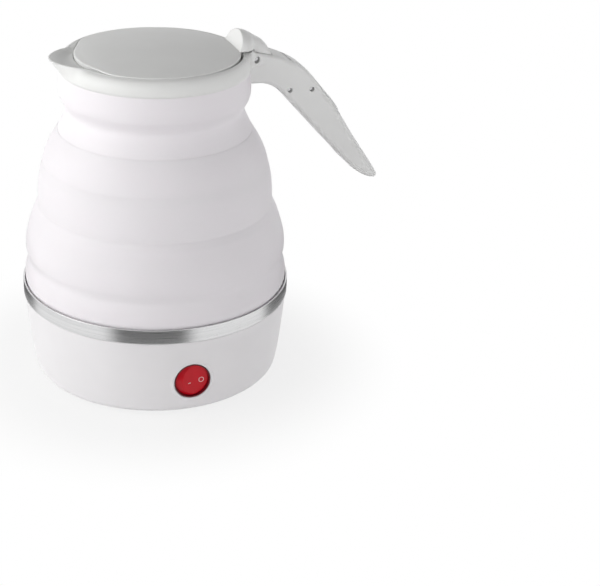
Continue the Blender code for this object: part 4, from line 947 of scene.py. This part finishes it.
def bowl_outline():
    """The base's closed section: outer side, corner, open underside, wall and the band's shelf."""
    height = BASE_TOP - BASE_CORNER
    levels = [BASE_TOP - height * step / 14 for step in range(1, 15)]

    def side(level):
        return BASE_RADIUS + BASE_SWELL * max((level - BASE_CORNER) / height, 0.0) ** 0.75

    outline = [(62.7, BASE_TOP), (62.92, 38.5), (63.0, 38.3)]
    outline += [(side(level), level) for level in levels]
    for step in range(1, 9):
        turn = math.pi / 2 * step / 8
        outline.append((
            BASE_RADIUS - BASE_CORNER + BASE_CORNER * math.cos(turn),
            BASE_CORNER - BASE_CORNER * math.sin(turn),
        ))
    outline += [(51.2, 0.0), (51.2, 2.4), (55.0, 2.4)]
    outline += [(side(level) - BASE_WALL, level) for level in levels[::-2]]
    return outline + [
        (60.6, 38.2), (52.6, 38.2), (52.6, 41.0), (54.6, 41.0), (54.6, 39.7), (57.6, 39.7),
        (57.6, 41.0), (62.4, 41.0), (62.4, BASE_TOP),
    ]


def rocker_face(across):
    """How far the rocker's dished face stands out at a place across it."""
    return ROCKER_FACE + (0.25 if across < 0 else 0.7) * (abs(across) / 7.0) ** 1.5


def rocker_line(angle):
    """From the middle of the rocker out and down its side: reach and fall below the face.

    A facet leans away on the left. A fall of None is the level of the rocker's back.
    """
    lean = max(-math.cos(angle), 0.0) ** 0.7
    radius = ROCKER_RADIUS + 0.25 * math.sin(angle) ** 2 + 0.45 * lean
    facet, fall = 2.35 * lean, 1.45 * lean
    flat = radius - ROCKER_ROLL - facet
    line = [(flat * step / 8, 0.0) for step in range(8)]
    line += [(flat - 0.12, 0.0), (flat, 0.03 * lean), (flat + 0.12 * lean, 0.09 * lean)]
    line += [(flat + facet * step / 4, fall * step / 4) for step in (1, 2, 3, 4)]
    for step in range(1, 6):
        turn = math.pi / 2 * step / 5
        line.append((
            radius - ROCKER_ROLL + ROCKER_ROLL * math.sin(turn),
            fall + ROCKER_ROLL * (1 - math.cos(turn)),
        ))
    return line + [(radius, None), (0.0, None)]


def rocker_body(columns=160):
    """The rocker's cap, closed at its back."""
    work = bmesh.new()
    angles = [2 * math.pi * column / columns for column in range(columns)]
    rows = []
    for ring in zip(*(rocker_line(angle) for angle in angles)):
        row = []
        for angle, (reach, fall) in zip(angles, ring):
            if reach == 0 and row:
                row.append(row[0])
                continue
            across, up = reach * math.cos(angle), reach * math.sin(angle)
            out = ROCKER_BACK if fall is None else rocker_face(across) - fall
            row.append(work.verts.new((across * MM, -out * MM, up * MM)))
        rows.append(row)
    join_rows(work, rows)
    return thing("rocker", work)


def mark(name, points, width, ring):
    """A thin line that follows the rocker's face, closed on itself or with two ends."""
    sections = []
    for index, (across, up) in enumerate(points):
        before, after = points[0], points[-1]
        if ring:
            before, after = points[index - 1], points[(index + 1) % len(points)]
        run = (Vector(after) - Vector(before)).normalized()
        side = Vector((-run.y, run.x)) * width / 2
        section = []
        for sign, lift in ((-1, -0.1), (-1, 0.03), (1, 0.03), (1, -0.1)):
            x, z = across + side.x * sign, up + side.y * sign
            section.append((x, -(rocker_face(x) + lift), z))
        sections.append(section)
    return lofted(name, sections, ring)


# Carried parts and stage


NODE_FINISHES = {
    "White shell plastic": ("base_cover", "thermal_fuse"),
    "Pale moulding plastic": ("handle_cover", "lid_inner_plate", "neck_clamp_ring"),
    "Seal silicone": ("pan_seal", "lid_seal"),
    "Drawn steel": (
        "heating_pan", "heating_element", "base_screw_1", "base_screw_2", "base_screw_3",
        "clamp_screw_1", "clamp_screw_2", "clamp_screw_3", "lid_screw_1", "lid_screw_2",
        "handle_screw_1", "handle_screw_2", "lid_hinge_pin",
    ),
    "Cast aluminium": ("heat_spreader", "pan_clamp_ring"),
    "Brass": (
        "inlet_pin_live", "inlet_pin_earth", "inlet_pin_neutral", "switch_terminal_1",
        "switch_terminal_2",
    ),
    "Black plastic": ("inlet_socket", "thermostat", "dry_boil_cutout"),
    "Black rubber": ("foot_1", "foot_2", "foot_3", "foot_4"),
    "Brown wire sleeve": ("live_wire", "switched_wire"),
    "Blue wire sleeve": ("neutral_wire",),
    "Green wire sleeve": ("earth_wire",),
}


def smoothing_steps():
    """Joins a node's loose facets and keeps only its real corners sharp."""
    group = bpy.data.node_groups.new("Join facets", "GeometryNodeTree")
    for way in ("INPUT", "OUTPUT"):
        group.interface.new_socket("Geometry", in_out=way, socket_type="NodeSocketGeometry")
    start, end = group.nodes.new("NodeGroupInput"), group.nodes.new("NodeGroupOutput")
    merge = add_node(group, "GeometryNodeMergeByDistance", {"Distance": 0.000002})
    soft = add_node(group, "GeometryNodeSetShadeSmooth", domain="FACE")
    angle = add_node(group, "GeometryNodeInputMeshEdgeAngle")
    sharp = add_node(
        group, "FunctionNodeCompare", {"B": math.radians(32)},
        data_type="FLOAT", operation="LESS_THAN",
    )
    creases = add_node(group, "GeometryNodeSetShadeSmooth", domain="EDGE")
    join_up(
        group,
        (start, "Geometry", merge, "Geometry"),
        (merge, "Geometry", soft, "Geometry"),
        (soft, "Geometry", creases, "Geometry"),
        (angle, "Unsigned Angle", sharp, "A"),
        (sharp, "Result", creases, "Shade Smooth"),
        (creases, "Geometry", end, "Geometry"),
    )
    return group


def seen_rays(tree):
    """A node whose value is 1 where the camera, a reflection or clear plastic looks."""
    path = add_node(tree, "ShaderNodeLightPath")
    either, any_of = (add_node(tree, "ShaderNodeMath", operation="MAXIMUM") for _ in range(2))
    join_up(
        tree,
        (path, "Is Camera Ray", either, 0),
        (path, "Is Glossy Ray", either, 1),
        (either, "Value", any_of, 0),
        (path, "Is Transmission Ray", any_of, 1),
    )
    return any_of


def floor_finish():
    """White floor that keeps the soft shadow near the kettle and is plain white further out."""
    material = bpy.data.materials.new("White floor")
    material.use_nodes = True
    material.cycles.emission_sampling = "NONE"
    tree = material.node_tree
    shader = tree.nodes["Principled BSDF"]
    set_values(shader, {
        "Base Color": (0.78, 0.78, 0.78, 1), "Roughness": 0.9, "Specular IOR Level": 0.1,
    })
    place = add_node(tree, "ShaderNodeTexCoord")
    away = add_node(tree, "ShaderNodeVectorMath", operation="LENGTH")
    fade = add_node(
        tree, "ShaderNodeMapRange",
        {"From Min": FLOOR_FROM, "From Max": FLOOR_TO, "To Min": FLOOR_START, "To Max": 1.0},
        interpolation_type="SMOOTHSTEP",
    )
    share = add_node(tree, "ShaderNodeMath", operation="MULTIPLY")
    glow = add_node(tree, "ShaderNodeEmission", {"Color": (1, 1, 1, 1), "Strength": 1.0})
    mix = add_node(tree, "ShaderNodeMixShader")
    join_up(
        tree,
        (place, "Object", away, 0),
        (away, "Value", fade, "Value"),
        (fade, "Result", share, 0),
        (seen_rays(tree), "Value", share, 1),
        (share, "Value", mix, "Fac"),
        (shader, "BSDF", mix, 1),
        (glow, "Emission", mix, 2),
        (mix, "Shader", tree.nodes["Material Output"], "Surface"),
    )
    return material


def studio_world(scene):
    """Plain white where it is seen, and a fill on the kettle that is brighter from below."""
    scene.world = scene.world or bpy.data.worlds.new("Studio")
    scene.world.use_nodes = True
    tree = scene.world.node_tree
    tree.nodes.clear()
    white = {"Color": (1, 1, 1, 1)}
    end = add_node(tree, "ShaderNodeOutputWorld")
    seen = add_node(tree, "ShaderNodeBackground", {**white, "Strength": 1.0})
    fill = add_node(tree, "ShaderNodeBackground", white)
    place = add_node(tree, "ShaderNodeTexCoord")
    apart = add_node(tree, "ShaderNodeSeparateXYZ")
    low = add_node(tree, "ShaderNodeMath", {0: 1.0}, operation="SUBTRACT", use_clamp=True)
    glow = add_node(tree, "ShaderNodeMath", {1: FILL_POWER}, operation="POWER")
    level = add_node(tree, "ShaderNodeMapRange", {"To Min": FILL_ABOVE, "To Max": FILL_BELOW})
    mix = add_node(tree, "ShaderNodeMixShader")
    join_up(
        tree,
        (place, "Generated", apart, "Vector"),
        (apart, "Z", low, 1),
        (low, "Value", glow, 0),
        (glow, "Value", level, "Value"),
        (level, "Result", fill, "Strength"),
        (seen_rays(tree), "Value", mix, "Fac"),
        (fill, "Background", mix, 1),
        (seen, "Background", mix, 2),
        (mix, "Shader", end, "Surface"),
    )


def grey_cards():
    """Dark cards round the base, seen only in reflections, that fade out at their ends."""
    material = bpy.data.materials.new("Grey card")
    material.use_nodes = True
    material.cycles.emission_sampling = "NONE"
    tree = material.node_tree
    shader = tree.nodes["Principled BSDF"]
    set_values(shader, {
        "Base Color": (0.02, 0.02, 0.02, 1), "Roughness": 1.0, "Emission Strength": 1.0,
    })
    glow = add_node(tree, "ShaderNodeAttribute", attribute_name="glow")
    join_up(tree, (glow, "Fac", shader, "Emission Color"))
    for index, (first, last) in enumerate(CARDS):
        work = bmesh.new()
        rows, glows = [], []
        for step in range(CARD_STEPS + 1):
            end = min(step, CARD_STEPS - step) / CARD_STEPS * (last - first)
            glows += [CARD_GLOW + CARD_END_GLOW * (1 - eased(end / CARD_FADE))] * 2
            turn = math.radians(first + (last - first) * step / CARD_STEPS)
            x, y = CARD_REACH * math.cos(turn), CARD_REACH * math.sin(turn)
            rows.append([work.verts.new((x, y, z)) for z in (FEET_LEVEL * MM + 0.001, CARD_TOP)])
        for left, right in zip(rows, rows[1:]):
            work.faces.new((left[0], right[0], right[1], left[1]))
        card = thing(f"grey_card_{index + 1}", work)
        values = card.data.attributes.new("glow", "FLOAT", "POINT").data
        values.foreach_set("value", glows)
        card.data.materials.append(material)
        card.visible_camera = card.visible_diffuse = card.visible_shadow = False
        card.visible_transmission = card.visible_volume_scatter = False


# Operators


class KETTLE_OT_bellows(bpy.types.Operator):
    """Builds the silicone skins that slide into each other as the kettle folds"""

    bl_idname = "kettle.bellows"
    bl_label = "Bellows"

    def execute(self, context):
        columns = context.scene.kettle_sizes.columns
        skins = (
            ("lower", LOWER_SKIN, LOWER_LINING, None, ("silicone_base_wall", "silicone_ring_low")),
            ("middle", MIDDLE_SKIN, MIDDLE_LINING, "middle_ring", ("silicone_ring_middle",)),
            ("high", HIGH_SKIN, HIGH_LINING, "high_ring", ("silicone_ring_high",)),
            ("neck", NECK_SKIN, NECK_LINING, "top", ("silicone_neck",)),
        )
        for zone, outside, lining, body, nodes in skins:
            outline = flowing(outside) + flowing(lining)
            skin = settle(turned(f"{zone}_skin", outline, columns), 60)
            dress(context, skin, "White silicone", body, nodes)
            if body is None:
                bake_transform(skin)
        return {"FINISHED"}


class KETTLE_OT_rim_and_handle(bpy.types.Operator):
    """Builds the one moulding of rim, pouring lip and hollow handle, and the two pins seen in it"""

    bl_idname = "kettle.rim_and_handle"
    bl_label = "Rim and handle"

    def execute(self, context):
        arm = carve(
            handle_arm(context.scene.kettle_sizes.handle_width / MM / 2),
            rod("neck_room", (0, 0, 125.0), (0, 0, RIM_LOW + 0.3), RIM_RADIUS - 0.25, 160),
            slab("handle_hollow", HANDLE_HOLLOW, HOLLOW_HALF),
            across_bar("boss_room", LEVER_PIN, BOSS_ROOM, HOLLOW_HALF - 0.05),
            across_bar("lever_hole", LEVER_PIN, PIN_HOLE, PIN_REACH),
            across_bar("stop_hole", STOP_PIN, PIN_HOLE, PIN_REACH),
        )
        rim = carve(
            fuse(rim_ring(), arm, root_flare()),
            slab("drum_slot", DRUM_SLOT, DRUM_SLOT_HALF),
            slab("barrel_slot", BARREL_SLOT, BARREL_SLOT_HALF),
            across_bar("hinge_hole", HINGE_PIN, HINGE_HOLE, PIN_REACH),
        )
        settle(rim, 30)
        dress(context, rim, "Pale moulding plastic", "top", ("collar_and_handle",))
        for node, place in (("lever_pin", LEVER_PIN), ("lever_stop_pin", STOP_PIN)):
            pin = soften(across_bar(node + "_seen", place, PIN_RADIUS, PIN_HALF), 0.25, 3, 60)
            dress(context, settle(pin, 40), "Drawn steel", "top", (node,))
        return {"FINISHED"}


class KETTLE_OT_lever(bpy.types.Operator):
    """Builds the release lever whose plate lies in the handle's back, and its spring"""

    bl_idname = "kettle.lever"
    bl_label = "Release lever"

    def execute(self, context):
        sections = []
        for back in evenly(flowing(HANDLE_TOP, 6), 160):
            if not LEVER_START <= back.x <= LEVER_END:
                continue
            share = (back.x - LEVER_START) / (LEVER_END - LEVER_START)
            short = max(share - PLATE_TAPER, 0.0) / (1 - PLATE_TAPER)
            half = LEVER_HALF * math.sqrt(1 - 0.4 * short * short)
            top = (back.x, back.y + PLATE_PROUD + PLATE_LIP * share ** 3)
            bottom = (back.x - PLATE_SLANT, back.y - PLATE_DEPTH)
            sections.append(bar_section(top, bottom, half, 1.3, 0.6, 0.25, 5))
        plate = lofted("lever_plate", sections)
        boss = across_bar("lever_boss", LEVER_PIN, LEVER_BOSS, LEVER_BOSS_HALF)
        fuse(plate, slab("lever_web", LEVER_WEB, LEVER_WEB_HALF), boss)
        settle(carve(plate, across_bar("lever_bore", LEVER_PIN, LEVER_BORE, PIN_REACH)), 35)
        dress(context, plate, "Pale moulding plastic", "lever", ("release_lever",))
        foot, head = COIL_ENDS
        spring = coil("lever_coil", foot, head, COIL_RADIUS, COIL_WIRE, COIL_TURNS)
        dress(context, settle(spring, 60), "Drawn steel", None, ("lever_spring",))
        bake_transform(spring)
        return {"FINISHED"}


class KETTLE_OT_lid(bpy.types.Operator):
    """Builds the dished lid with its half-dome knuckle and the arm that turns on the hinge pin"""

    bl_idname = "kettle.lid"
    bl_label = "Lid"

    def execute(self, context):
        cap = dished_cap(context.scene.kettle_sizes.columns)
        fuse(cap, half_dome(), lid_arm())
        places = (-BOSS_PLACE, BOSS_PLACE)
        for x in places:
            fuse(cap, rod("boss", (x, 0, BOSS_LOW), (x, 0, BOSS_TOP), BOSS_RADIUS))
        for x in places:
            carve(cap, rod("boss_hole", (x, 0, BOSS_HOLE_LOW), (x, 0, BOSS_HOLE_TOP), BOSS_HOLE))
        settle(cap, 30)
        dress(context, cap, "Pale moulding plastic", "lid", ("lid",))
        return {"FINISHED"}


class KETTLE_OT_base(bpy.types.Operator):
    """Builds the moulded base with the switch's pad and the inlet's mouth, and the steel band"""

    bl_idname = "kettle.base"
    bl_label = "Base and band"

    def execute(self, context):
        sizes = context.scene.kettle_sizes
        pad, spot = sizes.pad_radius / MM, PAD_FACE + 0.006
        pad_side = [
            (0.0, PAD_BACK, 0.0), (pad, PAD_BACK, 0.0), (pad, PAD_FACE, 0.75), (0.0, PAD_FACE, 0.0),
        ]
        spot_side = [(0.0, spot), (pad + 0.02, spot), (pad + 0.9, CUT_TO), (0.0, CUT_TO)]
        boss = turned("switch_pad", rounded(pad_side), 128, closed=False, front=True)
        room = turned("pad_spot", spot_side, 120, closed=False, front=True)
        for tool in (boss, room):
            tool.data.transform(Matrix.Translation((0, 0, SWITCH_LEVEL * MM)))
        ends = ((0, -CUT_FROM, SWITCH_LEVEL), (0, -CUT_TO, SWITCH_LEVEL))
        hole = rod("switch_hole", *ends, SWITCH_HOLE, 96)
        low, high = (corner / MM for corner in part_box("inlet_socket"))
        mouth = brick(
            "inlet_mouth",
            (low.x - INLET_AIR, CUT_FROM, low.z - INLET_AIR),
            (high.x + INLET_AIR, CUT_TO, high.z + INLET_AIR),
        )
        shell = fuse(turned("base_bowl", bowl_outline(), sizes.columns), boss)
        settle(carve(shell, room, hole, mouth), 28)
        dress(context, shell, "White shell plastic", "base", ("base_shell",))
        inner, outer = BAND_RADIUS - BAND_WALL, BAND_RADIUS - 0.05
        outline = rounded([
            (inner, BAND_LOW, 0.1), (outer, BAND_LOW, 0.2), (BAND_RADIUS, BAND_LOW + 3.4, 0.0),
            (outer, BAND_TOP, 0.15), (inner, BAND_TOP, 0.1),
        ])
        band = settle(turned("band", outline, sizes.columns), 60)
        dress(context, band, "Brushed steel band", "base", ("steel_band",))
        return {"FINISHED"}


class KETTLE_OT_switch(bpy.types.Operator):
    """Builds the red rocker with its two marks, and the dark ring that it tips in"""

    bl_idname = "kettle.switch"
    bl_label = "Switch"

    def execute(self, context):
        ring = turned("switch_ring", rounded(SWITCH_RING), 96, closed=False, front=True)
        ring.data.transform(Matrix.Translation((0, 0, SWITCH_LEVEL * MM)))
        settle(ring, 40)
        # The ring's dark red is partly painted shade round the rocker.
        finish = "Dark red switch plastic"
        dress(context, ring, finish, "base", ("switch_housing",))

        lean = Matrix.Rotation(context.scene.kettle_sizes.rocker_lean, 4, "Z")
        seat = Matrix.Translation((0, -ROCKER_PIVOT * MM, SWITCH_LEVEL * MM)) @ lean
        rocker = rocker_body()
        rocker.data.transform(seat)
        settle(rocker, 55)
        dress(context, rocker, "Red rocker plastic", "rocker", ("switch_rocker",))

        bar = [(ON_FROM + (ON_TO - ON_FROM) * step / 8, ON_LEVEL) for step in range(9)]
        circle = [
            (OFF_ACROSS + OFF_RADIUS * math.cos(turn), OFF_UP + OFF_RADIUS * math.sin(turn))
            for turn in (math.pi * step / 20 for step in range(40))
        ]
        on_mark = mark("on_mark", bar, ON_WIDTH, False)
        for line in (on_mark, mark("off_mark", circle, OFF_WIDTH, True)):
            line.data.transform(seat)
            settle(line, 40)
            dress(context, line, "White switch marks", "rocker")
        return {"FINISHED"}


class KETTLE_OT_carried_parts(bpy.types.Operator):
    """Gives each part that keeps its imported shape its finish, its facets joined and smooth"""

    bl_idname = "kettle.carried_parts"
    bl_label = "Carried parts"

    def execute(self, context):
        wanted = {node: finish for finish, nodes in NODE_FINISHES.items() for node in nodes}
        smoother = smoothing_steps()
        for name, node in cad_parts.items():
            if node.hide_render:
                continue
            finish = finish_named(context, wanted[name])
            for slot in node.material_slots:
                slot.material = finish
            node.modifiers.new("smooth", "NODES").node_group = smoother
        return {"FINISHED"}


class KETTLE_OT_stage(bpy.types.Operator):
    """Sets the white floor, the soft light, the cards for the band and the camera"""

    bl_idname = "kettle.stage"
    bl_label = "Stage"

    def execute(self, context):
        scene = context.scene
        work = bmesh.new()
        bmesh.ops.create_grid(work, x_segments=8, y_segments=8, size=4.0)
        work.transform(Matrix.Translation((0, 0, FEET_LEVEL * MM)))
        floor = thing("floor", work)
        floor.data.materials.append(floor_finish())
        studio_world(scene)

        lamp = bpy.data.lights.new("key_lamp", "AREA")
        lamp.shape, lamp.size, lamp.energy = "SQUARE", LAMP_SIZE, LAMP_POWER
        lamp.color = (0.99, 1.0, 0.975)
        holder = bpy.data.objects.new("key_lamp", lamp)
        scene.collection.objects.link(holder)
        holder.location = LAMP_PLACE
        aim = Vector(LAMP_AIM) - holder.location
        holder.rotation_euler = aim.to_track_quat("-Z", "Y").to_euler()
        grey_cards()

        sizes = scene.kettle_sizes
        camera = bpy.data.objects.new("camera", bpy.data.cameras.new("camera"))
        scene.collection.objects.link(camera)
        turn = Matrix((CAMERA_RIGHT, CAMERA_UP, -CAMERA_AHEAD)).transposed().to_4x4()
        camera.matrix_world = Matrix.Translation(Vector(sizes.camera_place)) @ turn
        camera.data.lens, camera.data.sensor_width = sizes.lens, 36.0
        camera.data.sensor_fit = "HORIZONTAL"
        camera.data.clip_end = 20.0
        scene.camera = camera
        scene.view_settings.view_transform = "Standard"
        return {"FINISHED"}


class KETTLE_PT_panel(bpy.types.Panel):
    """Lists the kettle's pieces, sizes and finishes"""

    bl_idname = "KETTLE_PT_panel"
    bl_label = "Folding kettle"
    bl_space_type = "VIEW_3D"
    bl_region_type = "UI"
    bl_category = "Kettle"

    def draw(self, context):
        layout = self.layout
        for group in (context.scene.kettle_sizes, context.scene.kettle_finishes):
            column = layout.column(align=True)
            for name in group.__annotations__:
                column.prop(group, name)
        column = layout.column(align=True)
        for operator in OPERATORS:
            column.operator(operator.bl_idname)


OPERATORS = (
    KETTLE_OT_stage,
    KETTLE_OT_bellows,
    KETTLE_OT_rim_and_handle,
    KETTLE_OT_lever,
    KETTLE_OT_lid,
    KETTLE_OT_base,
    KETTLE_OT_switch,
    KETTLE_OT_carried_parts,
)
CLASSES = (KettleSizes, KettleFinishes, *OPERATORS, KETTLE_PT_panel)


def register():
    for cls in CLASSES:
        bpy.utils.register_class(cls)
    bpy.types.Scene.kettle_sizes = bpy.props.PointerProperty(type=KettleSizes)
    bpy.types.Scene.kettle_finishes = bpy.props.PointerProperty(type=KettleFinishes)


def unregister():
    del bpy.types.Scene.kettle_finishes
    del bpy.types.Scene.kettle_sizes
    for cls in reversed(CLASSES):
        bpy.utils.unregister_class(cls)


def main():
    register()
    bpy.ops.kettle.stage()
    bpy.ops.kettle.bellows()
    bpy.ops.kettle.rim_and_handle()
    bpy.ops.kettle.lever()
    bpy.ops.kettle.lid()
    bpy.ops.kettle.base()
    bpy.ops.kettle.switch()
    bpy.ops.kettle.carried_parts()


if __name__ == "__main__":
    main()
